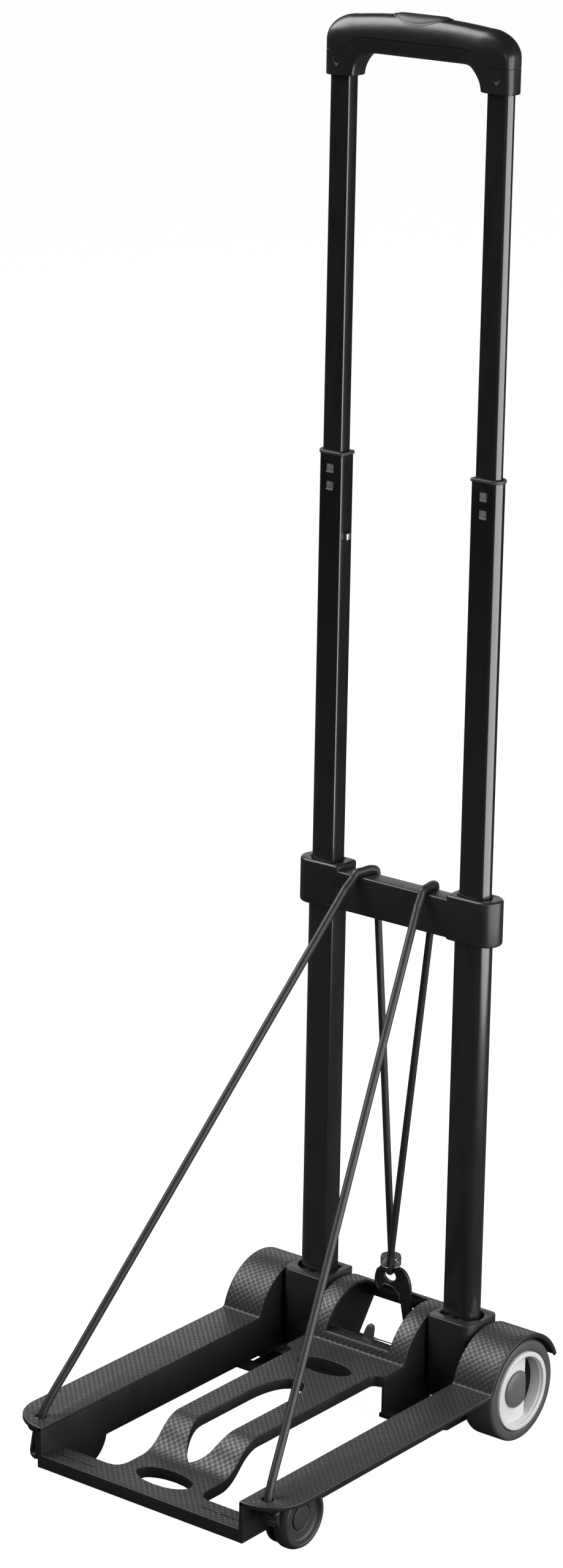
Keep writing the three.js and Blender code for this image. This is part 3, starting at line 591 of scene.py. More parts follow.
def build_rails():
    """Side rails: a dimpled flange with a rounded lip, the wall under it, and the rear fender."""
    wheel_low, wheel_high = span("front_wheel_right")
    wheel = (wheel_low + wheel_high) / 2
    guard_r = (wheel_high.z - wheel_low.z) / 2 - 1.5
    lip = 1.7
    edge = RAIL_OUT - lip * 0.5
    bend = Vector((RAIL_OUT - CORNER_R, FRONT_Y + CORNER_R, 0))

    def flange():
        rim = [
            (RAIL_IN, FRONT_Y + lip * 0.5),
            *arc(bend.x, bend.y, CORNER_R - lip * 0.5, -90, 0, 28),
            (edge, FOOT_Y + 0.6), (RAIL_IN, FOOT_Y + 0.6),
        ]
        hole = arc(CORD_HOLE.x, CORD_HOLE.y, CORD_HOLE_R, 0, 348, 29)
        return plate([rim, hole], "z", DECK_Z - SKIN, DECK_Z, 0.35, top_uv=True)

    def wall():
        drop = math.degrees(math.asin((FLOOR_Z - wheel.z) / guard_r))
        guard = arc(wheel.y, wheel.z, guard_r, drop, -180 - drop, 30)
        rim = [*arch_wall_outline(FRONT_Y, DECK_Z - 0.6), *guard]
        return plate([rim], "x", RAIL_IN + 0.04, RAIL_IN + WALL, 0.4)

    def lip_strip():
        """The rounded rim along the flange's outer edge and over the fender."""
        down = Vector((0, 0, -1))
        left = Vector((-1, 0, 0))
        path = [(Vector((RAIL_IN + 0.3, FRONT_Y, DECK_Z)), Vector((0, 1, 0)), down)]
        for x, y in arc(bend.x, bend.y, CORNER_R, -90, 0, 32):
            inward = Vector((bend.x - x, bend.y - y, 0)).normalized()
            path.append((Vector((x, y, DECK_Z)), inward, down))
        for y in steps(bend.y + 12, FOOT_Y - 1.5, 8):
            path.append((Vector((RAIL_OUT, y, DECK_Z)), left, down))
        for a in steps(ARCH_FOOT + 0.03, ARCH_TAIL, 44):
            to_axle = Vector((0, math.cos(a), -math.sin(a)))
            path.append((Vector((RAIL_OUT, *arch_point(a, ARCH_R))), left, to_axle))
        tall, r = 3.3, 0.8
        corners = ((r, r, 180), (lip - r, r, 270), (lip - r, tall - r, 0), (r, tall - r, 90))
        section = [p for cx, cy, start in corners for p in arc(cx, cy, r, start, start + 90, 4)]
        return loft([[point + inward * a + under * b for a, b in section] for point, inward, under in path])

    def gusset():
        return rounded_box((RAIL_IN + 1, BAR_REAR_Y + 1, 24), (101, BAR_REAR_Y + 3.2, DECK_Z - 1), 0.5)

    def boss():
        root, end = RAIL_IN + 1, wheel_low.x - 0.3
        profile = [(STUB_R, root), (6, root), (6, end - 0.5), (5.4, end), (STUB_R, end)]
        return lathe(profile, "x", wheel.yz, 40)

    def fender():
        return arch_skin(steps(RAIL_IN, edge, 6), steps(ARCH_FOOT, ARCH_TAIL, 56))

    both(flange, "rail_flange", "platform", ["black", "tread"])
    both(wall, "rail_wall", "platform", "black")
    both(lip_strip, "rail_lip", "platform", "black", sharp=50)
    both(gusset, "rail_gusset", "platform", "black")
    both(boss, "front_wheel_boss", "platform", "black")
    both(fender, "fender", "platform", ["black", "tread"], bevel=0.5)


# The centre deck drops to the front bar in an S made of two equal arcs.
DROP_TOP = -193.0
DROP_FOOT = -232.0
OVALS = ((-250.0, 22.5, 11.5), (-75.5, 22.5, 10.5))
SLOT_X = 15.5
SLOT_FRONT = bezier((0, -224), (9, -218), (SLOT_X, -208), (SLOT_X, -188), 16)
SLOT_REAR = bezier((SLOT_X, -140), (SLOT_X, -118), (10, -105), (0, -105), 16)
FLARE = 12.0
STEP_Y = -69.5
STEP_R = 5.0
STEP_FLARE = 0.8
FLARE_WIDTH = 10.0
DECK_SKIRT = 8.0
SLIT_Y = (-267.8, -266.6)
SLITS = ((46, 59.5), (62.5, 80))


def deck_height(y):
    t = min(max((y - DROP_FOOT) / (DROP_TOP - DROP_FOOT), 0), 1)
    half = 2 * t * t if t < 0.5 else 1 - 2 * (1 - t) ** 2
    return BAR_TOP + (DECK_Z - BAR_TOP) * half


def hole_half(y):
    """Half width of the opening on the deck's centre line at y, or zero."""
    for centre, a, b in OVALS:
        if abs(y - centre) < b:
            return a * math.sqrt(1 - ((y - centre) / b) ** 2)
    for points in (SLOT_FRONT, SLOT_REAR):
        for (xa, ya), (xb, yb) in zip(points, points[1:]):
            if ya <= y <= yb and yb > ya:
                return xa + (xb - xa) * (y - ya) / (yb - ya)
    return SLOT_X if SLOT_FRONT[-1][1] < y < SLOT_REAR[0][1] else 0


def deck_edge(y):
    """Half width of the centre deck at y: flared on the bar, straight legs, wider at the hump."""
    flare_end = BAR_REAR_Y + FLARE
    if y <= BAR_REAR_Y:
        return LEG_X + FLARE_WIDTH
    if y < flare_end:
        return LEG_X + FLARE_WIDTH * (1 - math.sqrt((y - BAR_REAR_Y) / FLARE)) ** 2
    if y < STEP_Y:
        return LEG_X + STEP_FLARE * (y - flare_end) / (STEP_Y - flare_end)
    if y < STEP_Y + STEP_R:
        return LEG_X + STEP_FLARE + STEP_R - math.sqrt(STEP_R ** 2 - (y - STEP_Y) ** 2)
    return min(HUMP_X, LEG_X + STEP_FLARE + STEP_R + (y - STEP_Y - STEP_R) * 2)


def deck_stations():
    """Rows of the deck's grid: the exact edges of each opening, and enough rows along each curve."""
    ys = [FRONT_Y, -272, *SLIT_Y, BAR_REAR_Y, FOOT_Y, -62, -50, *steps(-185, -145, 4)]
    for centre, _, b in OVALS:
        ys += [centre - b * math.cos(math.pi * i / 18) for i in range(19)]
    ys += [y for _, y in SLOT_FRONT + SLOT_REAR]
    ys += [BAR_REAR_Y + FLARE * (i / 6) ** 2 for i in range(1, 7)]
    ys += steps(DROP_FOOT, DROP_TOP, 18) + steps(-98, -88, 2)
    ys += [STEP_Y + STEP_R * math.sin(math.pi / 2 * i / 6) for i in range(7)] + [STEP_Y + STEP_R + 1.6]
    kept = []
    keys = {FRONT_Y, BAR_REAR_Y, FOOT_Y, *SLIT_Y, SLOT_FRONT[0][1], SLOT_REAR[-1][1]}
    keys |= {centre + side * b for centre, _, b in OVALS for side in (-1, 1)}
    keys |= {STEP_Y, STEP_Y + STEP_R}
    for y in sorted(set(ys), key=lambda v: (v not in keys, v)):
        if all(abs(y - k) > 0.5 for k in kept) or y in keys:
            kept.append(y)
    return sorted(kept)


def build_deck():
    """Front bar, legs and centre deck as one skin: a top grid, drawn down to its skirt."""
    ys = deck_stations()
    slope = [0.0]
    for ya, yb in zip(ys, ys[1:]):
        slope.append(slope[-1] + math.hypot(yb - ya, deck_height(yb) - deck_height(ya)))
    bar_columns = [x for slit in SLITS for x in slit] + [RAIL_IN + 0.4]
    bm = bmesh.new()
    uv = bm.loops.layers.uv.new(UV_NAME)
    grid = []
    for y in ys:
        xs = steps(hole_half(y), deck_edge(y), 8)
        if y <= BAR_REAR_Y:
            xs += bar_columns
        grid.append([bm.verts.new((x, y, deck_height(y))) for x in xs])
    for r in range(len(ys) - 1):
        a, b = grid[r], grid[r + 1]
        for c in range(min(len(a), len(b)) - 1):
            if ys[r] == SLIT_Y[0] and (a[c].co.x, a[c + 1].co.x) in SLITS:
                continue
            face = bm.faces.new((a[c], a[c + 1], b[c + 1], b[c]))
            for corner, v in zip(face.loops, (r, r, r + 1, r + 1)):
                corner[uv].uv = (corner.vert.co.x, slope[v] - slope[-1] + FOOT_Y)
    half = bm.faces[:]
    copy = bmesh.ops.duplicate(bm, geom=half + bm.verts[:] + bm.edges[:])["geom"]
    turned = [g for g in copy if isinstance(g, bmesh.types.BMFace)]
    for vertex in verts_in(copy):
        vertex.co.x = -vertex.co.x
    bmesh.ops.reverse_faces(bm, faces=turned)
    for face in turned:
        for corner in face.loops:
            corner[uv].uv.x = -corner[uv].uv.x
    bmesh.ops.remove_doubles(bm, verts=bm.verts, dist=0.01)
    made = bmesh.ops.extrude_face_region(bm, geom=bm.faces[:], use_keep_orig=True)["geom"]
    for vertex in verts_in(made):
        y = vertex.co.y
        bar_share = min(max((BAR_REAR_Y + FLARE - y) / FLARE, 0), 1)
        vertex.co.z -= DECK_SKIRT + (BAR_TOP - FLOOR_Z - DECK_SKIRT) * bar_share
    bmesh.ops.recalc_face_normals(bm, faces=bm.faces)
    for face in bm.faces:
        face.material_index = 1 if face.normal.z > 0.6 else 0
    finish(bm, "centre_deck", "platform", ["black", "tread"], ["platform"], bevel=0.6, bevel_angle=50)


def opening_collar():
    """Wall of the rear opening, carried below the deck."""
    centre, a, b = OVALS[1]
    section = box_profile(0.1, 1.8, DECK_Z - 15, DECK_Z - 6.5, 0.5)
    rings = []
    for t in turns(72):
        u, v = math.cos(t), math.sin(t)
        rings.append([((a + w) * u, centre + (b + w) * v, z) for w, z in section])
    return hoop(rings)


def build_hump():
    """Arch in the middle with its window, its walls, the floor beside it and the sill in front."""
    columns = [-HUMP_X, -36, -WINDOW_X, -14, 0, 14, WINDOW_X, 36, HUMP_X]
    angles = (steps(ARCH_FOOT, WINDOW_FROM, 4) + steps(WINDOW_FROM, WINDOW_TO, 34)[1:]
              + steps(WINDOW_TO, ARCH_TAIL, 24)[1:])

    def window(x, angle):
        return abs(x) < WINDOW_X and WINDOW_FROM < angle < WINDOW_TO

    finish(arch_skin(columns, angles, window), "hump_skin", "platform", ["black", "tread"], bevel=0.55)

    def side():
        return plate([arch_wall_outline(-62.5, DECK_Z - 1)], "x", HUMP_X - SKIN, HUMP_X - 0.04, 0.4)

    def tray():
        """Floor between hump and rail, stepped down where a socket swings."""
        front, step, low, rear = -65.5, -56, -46, -23
        bottom, top, thick = 13.8, 16.4, 3
        rim = [
            (front, FLOOR_Z), (front, FLOOR_Z + thick), (step, FLOOR_Z + thick), (low, top),
            (rear, top), (rear, bottom), (low, bottom), (step, FLOOR_Z),
        ]
        return plate([rim], "x", HUMP_X - SKIN + 0.4, RAIL_IN + 0.8, 0.5)

    def skirt():
        """Lower edge of the hump's wall, beside the socket."""
        top = FLOOR_Z + 1
        outline = [(-50, 16.4), (-45, 13.2), (-8, 13.2), (-4, 16), (-4, top), (-50, top)]
        return plate([outline], "x", HUMP_X - SKIN + 0.06, HUMP_X - 0.1, 0.4)

    def foot(x_low, x_high):
        """Small concave fillet where an arch meets the deck; the dimples run over it."""
        r = 2.2
        slope = math.pi / 2 - ARCH_FOOT
        back = (FOOT_Y + 0.1, DECK_Z - 0.4)
        centre = (FOOT_Y - r * math.tan(slope / 2), DECK_Z + r)
        section = [back, *arc(*centre, r, -96, -90 + math.degrees(slope), 8)]
        bm = loft([[(x, y, z) for y, z in section] for x in steps(x_low, x_high, 4)])
        uv = bm.loops.layers.uv.new(UV_NAME)
        for face in bm.faces:
            face.material_index = 1
            for corner in face.loops:
                place = corner.vert.co
                corner[uv].uv = (place.x, place.y + place.z - DECK_Z)
        return bm

    both(side, "hump_side", "platform", "black")
    both(skirt, "hump_skirt", "platform", "black")
    both(tray, "floor_strip", "platform", "black")
    finish(foot(0.6 - HUMP_X, HUMP_X - 0.6), "hump_foot", "platform", ["black", "tread"])
    both(lambda: foot(RAIL_IN + 0.2, RAIL_OUT - 1.2), "fender_foot", "platform", ["black", "tread"])
    finish(opening_collar(), "rear_opening_collar", "platform", "black")
    shelf = rounded_box((1 - HUMP_X, -37.2, 50.6), (HUMP_X - 1, -26.5, 53.2), 0.8)
    finish(shelf, "sill_shelf", "platform", "black")
    finish(finger_tab(), "finger_tab", "platform", "black")


def finger_tab():
    """Upright tab on the sill; it narrows upwards and leans to the rear."""
    foot = Vector((1.8, -27.7, 52))
    rings = []
    for rise, half, thick, lean in (
        (0, 4.4, 1.3, 0), (4, 4.0, 1.2, 1.6), (7.4, 3.5, 1.1, 3.1), (9.2, 2.6, 1.0, 3.9),
        (10.2, 1.3, 0.6, 4.3),
    ):
        corners = box_profile(-half, half, -thick, thick, 0.7)
        rings.append([(foot.x + x, foot.y + lean + y, foot.z + rise) for x, y in corners])
    return loft(rings)


# ---- wheels ---------------------------------------------------------------------------------


# Straight edges of the wheel's face and of its cap, both in front of the half-moon opening.
CHORD_Y = 10.5
CAP_CHORD_Y = 8.2


def build_rear_wheels():
    """Tread, rim, dished face with a half-moon opening, and cap."""
    low, high = span("rear_tyre_right")
    inner, outer = low.x, high.x
    radius = high.z - AXLE_Z
    rim = span("rear_hub_right")[1].z - AXLE_Z
    ring = rim - 3.5
    seat = rim - 0.1
    cap_low, cap_high = span("hub_cap_right")
    face_x = cap_low.x - 0.3
    cap_r = (cap_high.z - cap_low.z) / 2

    def tyre():
        return lathe(box_profile(rim, radius, inner, outer, 3.4, 6), "x", HUB, 128)

    def barrel():
        """Rim ring and the barrel behind it."""
        profile = [
            (ring - 0.6, face_x - 5), (seat, face_x - 5), (seat, outer + 0.5), (ring, outer + 0.5),
            (ring, outer - 1.2), (ring - 0.6, outer - 2.2),
        ]
        return lathe(rounded_profile(profile, 0.5), "x", HUB, 128)

    def drum():
        """Dark drum behind the silver part of the rim."""
        return lathe(box_profile(ring, seat, inner + 1, face_x - 5.1, 0.4), "x", HUB)

    def face():
        """Dished face, cut off along a straight chord behind the cap."""
        r = ring + 0.6
        angle = math.degrees(math.acos(CHORD_Y / r))
        return plate([arc(*HUB, r, angle, 360 - angle, 72)], "x", face_x - 3, face_x, 0.35)

    def rib():
        """Wall behind the face along the chord."""
        half = math.sqrt(ring ** 2 - CHORD_Y ** 2)
        low_corner = (inner + 6, CHORD_Y - 2.6, AXLE_Z - half)
        return rounded_box(low_corner, (face_x - 0.2, CHORD_Y - 0.1, AXLE_Z + half), 0.3)

    def floor():
        """Dark disc deep inside the half-moon opening."""
        return lathe(box_profile(4, ring + 0.3, inner + 3, inner + 5, 0.3), "x", HUB)

    def cap():
        """Domed cap with one side trimmed along a chord of its own."""
        rise = cap_high.x - cap_low.x
        rings = []
        for k in range(13):
            t = k / 12
            r = cap_r * math.cos(t * math.pi / 2) ** 0.55 if t < 1 else 0.05
            x = cap_low.x + 0.6 + (rise - 0.6) * math.sin(t * math.pi / 2)
            side = CAP_CHORD_Y - 1.6 * t
            rings.append([(x, min(r * math.cos(a), side), AXLE_Z + r * math.sin(a)) for a in turns(72)])
        base = [(cap_low.x - 0.2, y, z) for _, y, z in rings[0]]
        return loft([base, *rings])

    body = "rear_wheel_{side}"
    both(tyre, "rear_tread", body, "tyre", ["rear_tyre_{side}"])
    both(barrel, "rear_rim", body, "silver", ["rear_hub_{side}"])
    both(drum, "rear_wheel_drum", body, "dark")
    both(face, "rear_wheel_face", body, "silver")
    both(rib, "rear_wheel_rib", body, "dark")
    both(floor, "rear_wheel_back", body, "dark")
    both(cap, "rear_wheel_cap", body, "cap", ["hub_cap_{side}"])


def build_front_wheels():
    """Small wheels under the rails, each with a flat disc in a recess."""
    low, high = span("front_wheel_right")
    hub = centre_of("front_wheel_right").yz
    r = (high.z - low.z) / 2
    inner, outer = low.x, high.x

    def wheel():
        profile = [
            (STUB_R, inner), (r - 3.2, inner), (r, inner + 2.5), (r, outer - 4), (r - 2.4, outer),
            (r - 4.6, outer), (r - 6.2, outer - 3.6), (9.4, outer - 3.6), (9.2, outer - 4.8),
            (STUB_R, outer - 4.8),
        ]
        return lathe(rounded_profile(profile, 2.0, 5), "x", hub)

    def cap():
        profile = [(0.05, outer - 4.7), (8.5, outer - 4.7), (8.5, outer - 3.1), (0.05, outer - 2.6)]
        return lathe(rounded_profile(profile, 0.5), "x", hub, 72)

    body = "front_wheel_{side}"
    both(wheel, "front_wheel_tread", body, "dark", ["front_wheel_{side}"])
    both(cap, "front_wheel_disc", body, "dark", ["front_wheel_cap_{side}"])


# ---- sockets, tubes and brace ---------------------------------------------------------------

TUBE_CORNER = 1.1
TUBE_WALL = 0.8


def build_sockets():
    """Boxes that hold the tubes, each with a pocket, a seat in it and small keys."""
    low, high = span("socket_right")
    tube_low, tube_high = span("lower_tube_right")
    centre = (tube_low.x + tube_high.x) / 2
    tube = tube_high - tube_low
    pocket_x = centre + 0.4
    key_y = -tube.y / 2 - 1.5
    rim = [
        *arc(low.x + 5, low.y + 5, 5, 180, 270, 8), *arc(high.x - 9, low.y + 9, 9, -90, 0, 14),
        *arc(high.x - 6, high.y - 6, 6, 0, 90, 8), (low.x, high.y),
    ]

    def shell():
        pocket = d_outline(tube.x + 4.6, tube.y + 5.0, pocket_x, 2.5)
        return plate([rim, pocket[::-1]], "z", low.z, high.z, 0.55)

    def core():
        """Tube seat inside the pocket, just below the rim."""
        outer = d_outline(tube.x + 6, tube.y + 6, pocket_x, 2.5)
        return plate([outer], "z", low.z + 4, high.z - 7, 0.3)

    def keys():
        """Small keys that centre the tube in the pocket."""
        spots = ((centre - 6, key_y), (centre + 4, key_y), (centre - 4, -key_y))
        bottom, top = high.z - 9, high.z - 0.9
        lows = [(x - 2.2, y - 1.4, bottom) for x, y in spots]
        return merged(rounded_box(low, (low[0] + 4.4, low[1] + 2.6, top), 0.35) for low in lows)

    both(shell, "socket_shell", "frame", "black", ["socket_{side}"])
    both(core, "socket_seat", "frame", "dark")
    both(keys, "socket_keys", "frame", "dark")


def tube_skin(node, openings=(), corner=TUBE_CORNER):
    """Hollow D tube. openings are (plane, low, high, z_low, z_high) windows in its front or flat face."""
    low, high = span(node)
    outline = d_outline(high.x - low.x, high.y - low.y, (low.x + high.x) / 2, corner, 24)
    cuts_x = sorted({v for plane, a, b, *_ in openings if plane == "front" for v in (a, b)})
    cuts_y = sorted({v for plane, a, b, *_ in openings if plane == "flat" for v in (a, b)})
    ring = []
    for (xa, ya), (xb, yb) in zip(outline, outline[1:] + outline[:1]):
        ring.append((xa, ya))
        if abs(ya - low.y) < 0.01 and abs(yb - low.y) < 0.01:
            ring += [(x, ya) for x in cuts_x]
        if abs(xa - low.x) < 0.01 and abs(xb - low.x) < 0.01:
            ring += [(xa, y) for y in reversed(cuts_y)]
    levels = sorted({low.z, high.z, *(z for *_, za, zb in openings for z in (za, zb))})
    bm = bmesh.new()
    rows = [[bm.verts.new((x, y, z)) for x, y in ring] for z in levels]
    total = len(ring)
    for r in range(len(levels) - 1):
        z = (levels[r] + levels[r + 1]) / 2
        for i in range(total):
            j = (i + 1) % total
            x = (ring[i][0] + ring[j][0]) / 2
            y = (ring[i][1] + ring[j][1]) / 2
            if any(in_window(o, x, y, z, low) for o in openings):
                continue
            bm.faces.new((rows[r][i], rows[r][j], rows[r + 1][j], rows[r + 1][i]))
    bmesh.ops.recalc_face_normals(bm, faces=bm.faces)
    bmesh.ops.solidify(bm, geom=bm.faces[:], thickness=TUBE_WALL)
    return bm


def tube_hole(node, play):
    """D-shaped hole that a tube slides through."""
    low, high = span(node)
    middle = span("middle_tube_right")
    centre = (middle[0].x + middle[1].x) / 2
    return d_outline(high.x - low.x + play, high.y - low.y + play, centre, TUBE_CORNER, 24)[::-1]


def in_window(opening, x, y, z, low):
    """Whether a face centre lies in an opening of the tube whose lowest corner is low."""
    plane, a, b, z_low, z_high = opening
    if not z_low < z < z_high:
        return False
    if plane == "front":
        return abs(y - low.y) < 0.01 and a < x < b
    return abs(x - low.x) < 0.01 and a < y < b


def build_tubes():
    """Three telescoping stages, with the middle stage's rim, snap tabs and latch lug."""
    collar_low, collar_high = span("middle_collar_right")
    middle_low, middle_high = span("middle_tube_right")
    middle_x = (middle_low.x + middle_high.x) / 2
    lug_z = centre_of("upper_latch_right").z - 1
    tab_x = middle_x - 0.9
    tab_half = 3.35
    tab_zs = [middle_high.z - 9.3, middle_high.z - 21.4]
    openings = [("front", tab_x - tab_half, tab_x + tab_half, z - tab_half, z + tab_half) for z in tab_zs]
    openings.append(("flat", -2.7, 2.7, lug_z - 2.9, lug_z + 2.9))
    tubes = (
        ("lower", "frame", {"corner": 1.3}),
        ("middle", "middle_section", {"openings": openings}),
        ("upper", "upper_section", {}),
    )
    for stage, body, options in tubes:
        node = f"{stage}_tube_"
        both(lambda: tube_skin(node + "right", **options), node + "skin", body, "tube", [node + "{side}"])

    def collar():
        size = collar_high - collar_low
        rim = d_outline(size.x, size.y, middle_x, 1.4, 24)
        hole = tube_hole("upper_tube_right", 0.5)
        return plate([rim, hole], "z", middle_high.z + 0.1, collar_high.z, 0.7)

    def tab_parts(z):
        """A snap tab: a block in the window with a raised lower lip and a rib."""
        front = middle_low.y
        size = tab_half - 0.25
        left, right, bottom, top = tab_x - size, tab_x + size, z - size, z + size
        yield rounded_box((left, front + 0.35, bottom), (right, front + 1.3, top), 0.3)
        yield rounded_box((left + 0.5, front - 0.1, bottom), (right, front + 1, bottom + 1.3), 0.25)
        yield rounded_box((tab_x - 0.9, front + 0.05, z - 1.6), (tab_x + 1.7, front + 1, top), 0.2)

    def tabs():
        return merged(part for z in tab_zs for part in tab_parts(z))

    def lug():
        half, tall = 2.2, 2.4
        tip, root = span("upper_latch_right")[0].x, middle_low.x + 2
        return rounded_box((tip, -half, lug_z - tall), (root, half, lug_z + tall), 0.55)

    both(collar, "middle_tube_rim", "middle_section", "dark", ["middle_collar_{side}"])
    both(tabs, "middle_tube_tabs", "middle_section", "tab")
    both(lug, "upper_latch_nose", "upper_latch_{side}", "steel", ["upper_latch_{side}"])


def build_brace():
    """Two blocks on the lower tubes' upper ends and the bridge between them."""
    low, high = span("brace")

    def block():
        rim = d_outline(high.x - BLOCK_IN, high.y - low.y, (BLOCK_IN + high.x) / 2, 3.2, 30)
        return plate([rim, tube_hole("middle_tube_right", 0.7)], "z", low.z, high.z, 1.9, 6)

    both(block, "brace_block", "frame", "brace", sharp=50)
    section = box_profile(BRIDGE_FRONT, BRIDGE_REAR, low.z + 1, BRIDGE_TOP, 1.6, 5)
    ends = BLOCK_IN + 3
    bridge = loft([[(x, y, z) for y, z in section] for x in (-ends, 0, ends)])
    finish(bridge, "brace_bridge", "frame", "brace", ["brace"])


# ---- handle ---------------------------------------------------------------------------------


def handle_section(depth, height, square_in, square_out):
    """Superellipse section: (across, out) points; out is away from the arch's inside."""
    points = []
    for a in turns(64):
        c, s = math.cos(a), math.sin(a)
        square = square_out if s > 0 else square_in
        points.append((
            depth / 2 * math.copysign(abs(c) ** (2 / square), c),
            height / 2 * math.copysign(abs(s) ** (2 / square), s),
        ))
    return points


# The handle's outline: heights, the legs' inside, the shoulders and the parting line.
HANDLE_TOP = 974.0
HANDLE_UNDER = 946.5
LEG_IN = 51.2
LEG_DEPTH = 16.0
GRIP_DEPTH = 22.0
SHOULDER = Vector((22.0, 17.0))
SHOULDER_Z = 954.0
SHOULDER_FROM = 0.3
INNER_R = 16.0
SEAM_GRIP = 957.6
SEAM_LEG = 947.0
SEAM_BEND = 45.0
SEAM_END = 61.0


def handle_stations(z_low, leg_in, leg_out):
    """Pairs of inner and outer points along half of the arch, from the leg's end to the middle."""
    stations = []
    for i in range(31):
        s = i / 30
        a = math.pi / 2 * s
        inner = (leg_in - INNER_R * (1 - math.cos(a)), HANDLE_UNDER - INNER_R * (1 - math.sin(a)))
        if s < SHOULDER_FROM:
            outer = (leg_out, z_low + (SHOULDER_Z - z_low) * s / SHOULDER_FROM)
        else:
            b = math.pi / 2 * (s - SHOULDER_FROM) / (1 - SHOULDER_FROM)
            outer = (leg_out - SHOULDER.x * (1 - math.cos(b)), SHOULDER_Z + SHOULDER.y * math.sin(b))
        stations.append((inner, outer, s))
    inner_x, outer_x = leg_in - INNER_R, leg_out - SHOULDER.x
    rise = HANDLE_TOP - SHOULDER_Z - SHOULDER.y
    for i in range(1, 13):
        u = i / 12
        outer = (outer_x * (1 - u), HANDLE_TOP - rise * (1 - u) ** 2)
        stations.append(((inner_x * (1 - u), HANDLE_UNDER), outer, 1))
    return stations


def build_handle():
    """An arch of lofted sections from leg to leg, parted along the seam into two shells."""
    low, high = span("handle_bottom_shell")
    stations = handle_stations(low.z, LEG_IN, high.x)

    def ring(inner, outer, s, sign, shrink=0.0):
        """One section: a squarish leg that turns smoothly into the round grip."""
        blend = min(s / 0.85, 1)
        share = blend * blend * (3 - 2 * blend)
        a = Vector((inner[0], 0, inner[1]))
        b = Vector((outer[0], 0, outer[1]))
        out = (b - a).normalized()
        middle = (a + b) / 2
        depth = LEG_DEPTH + (GRIP_DEPTH - LEG_DEPTH) * share - 2 * shrink
        height = (b - a).length - 2 * shrink
        points = []
        for across, away in handle_section(depth, height, 9.0 - 6.4 * share, 4.4 - 2.0 * share):
            p = middle + out * away
            points.append((p.x * sign, across, p.z))
        return points

    def leg_end(sign):
        """Three sections that round the leg's lower edge."""
        (inner_x, inner_z), (outer_x, outer_z), s = stations[0]
        edge = ((0, 1.0), (0.3, 0.3), (1.0, 0.0))
        return [ring((inner_x, inner_z + up), (outer_x, outer_z + up), s, sign, cut) for up, cut in edge]

    rings = leg_end(1) + [ring(*s, 1) for s in stations[1:]]
    rings += [ring(*s, -1) for s in reversed(stations[1:-1])] + leg_end(-1)[::-1]

    def seam(x):
        """Height of the parting line at x: level on the grip, a rounded drop, level on the legs."""
        for (xa, za), (xb, zb) in zip(seam_line, seam_line[1:]):
            if xa <= abs(x) <= xb:
                return za + (zb - za) * (abs(x) - xa) / (xb - xa)
        return SEAM_LEG

    fall = (SEAM_GRIP - SEAM_LEG) / (SEAM_END - SEAM_BEND)
    bend = [(-10, 0), (-4, 0), (1, fall), (6, 6 * fall)]
    round_off = bezier(*[(SEAM_BEND + along, SEAM_GRIP - down) for along, down in bend], 6)
    seam_line = [(0, SEAM_GRIP), *round_off, (SEAM_END, SEAM_LEG), (high.x + 1, SEAM_LEG)]

    def shell(keep_upper):
        """One half of the handle, parted along the seam with a fine groove left open."""
        bm = loft(rings)
        lift = 0.2 if keep_upper else -0.2
        for (xa, za), (xb, zb) in zip(seam_line, seam_line[1:]):
            for sign in (-1, 1):
                split(bm, Vector((sign * xa, 0, za + lift)), Vector((sign * (za - zb) / (xb - xa), 0, 1)))
        middles = [(face, face.calc_center_median()) for face in bm.faces]
        drop = [face for face, c in middles if (c.z > seam(c.x) + lift) != keep_upper]
        bmesh.ops.delete(bm, geom=drop, context="FACES")
        bmesh.ops.remove_doubles(bm, verts=bm.verts, dist=0.01)
        edges = [e for e in bm.edges if e.is_boundary]
        made = bmesh.ops.extrude_edge_only(bm, edges=edges)["geom"]
        for vertex in verts_in(made):
            x = math.copysign(min(abs(vertex.co.x), 63.0), vertex.co.x)
            vertex.co += (Vector((x, 0, vertex.co.z)) - vertex.co).normalized() * 1.6
        return bm

    def split(bm, point, normal):
        bmesh.ops.bisect_plane(bm, geom=bm.verts[:] + bm.edges[:] + bm.faces[:], dist=0.0005,
                               plane_co=point, plane_no=normal)

    grip_z = (HANDLE_UNDER + HANDLE_TOP) / 2
    core = rounded_box((-60, -7, HANDLE_UNDER + 4), (60, 7, HANDLE_TOP - 5), 3)
    body = "upper_section"
    finish(core, "handle_core", body, "dark")
    for name, keep_upper, node in (("upper", True, "top"), ("lower", False, "bottom")):
        finish(shell(keep_upper), f"handle_{name}_shell", body, "handle", [f"handle_{node}_shell"],
               sharp=32)
    build_screws()
    build_button(grip_z)


def build_screws():
    """A dished screw head in a raised seat on the front of each leg."""
    x, _, z = centre_of("handle_screw_right")

    def screw():
        profile = ((0.5, -7.6), (0.9, -8.0), (1.5, -8.3), (2.1, -8.15), (2.35, -7.8), (2.35, -6.5))
        return loft([[(x + r * math.cos(a), y, z + r * math.sin(a)) for a in turns(32)] for r, y in profile])

    def screw_seat():
        return lathe(box_profile(2.5, 3.3, -8.45, -7.2, 0.3), "y", (x, z), 40)

    both(screw, "handle_screw_head", "upper_section", "tab", ["handle_screw_{side}"])
    both(screw_seat, "handle_screw_seat", "upper_section", "handle")


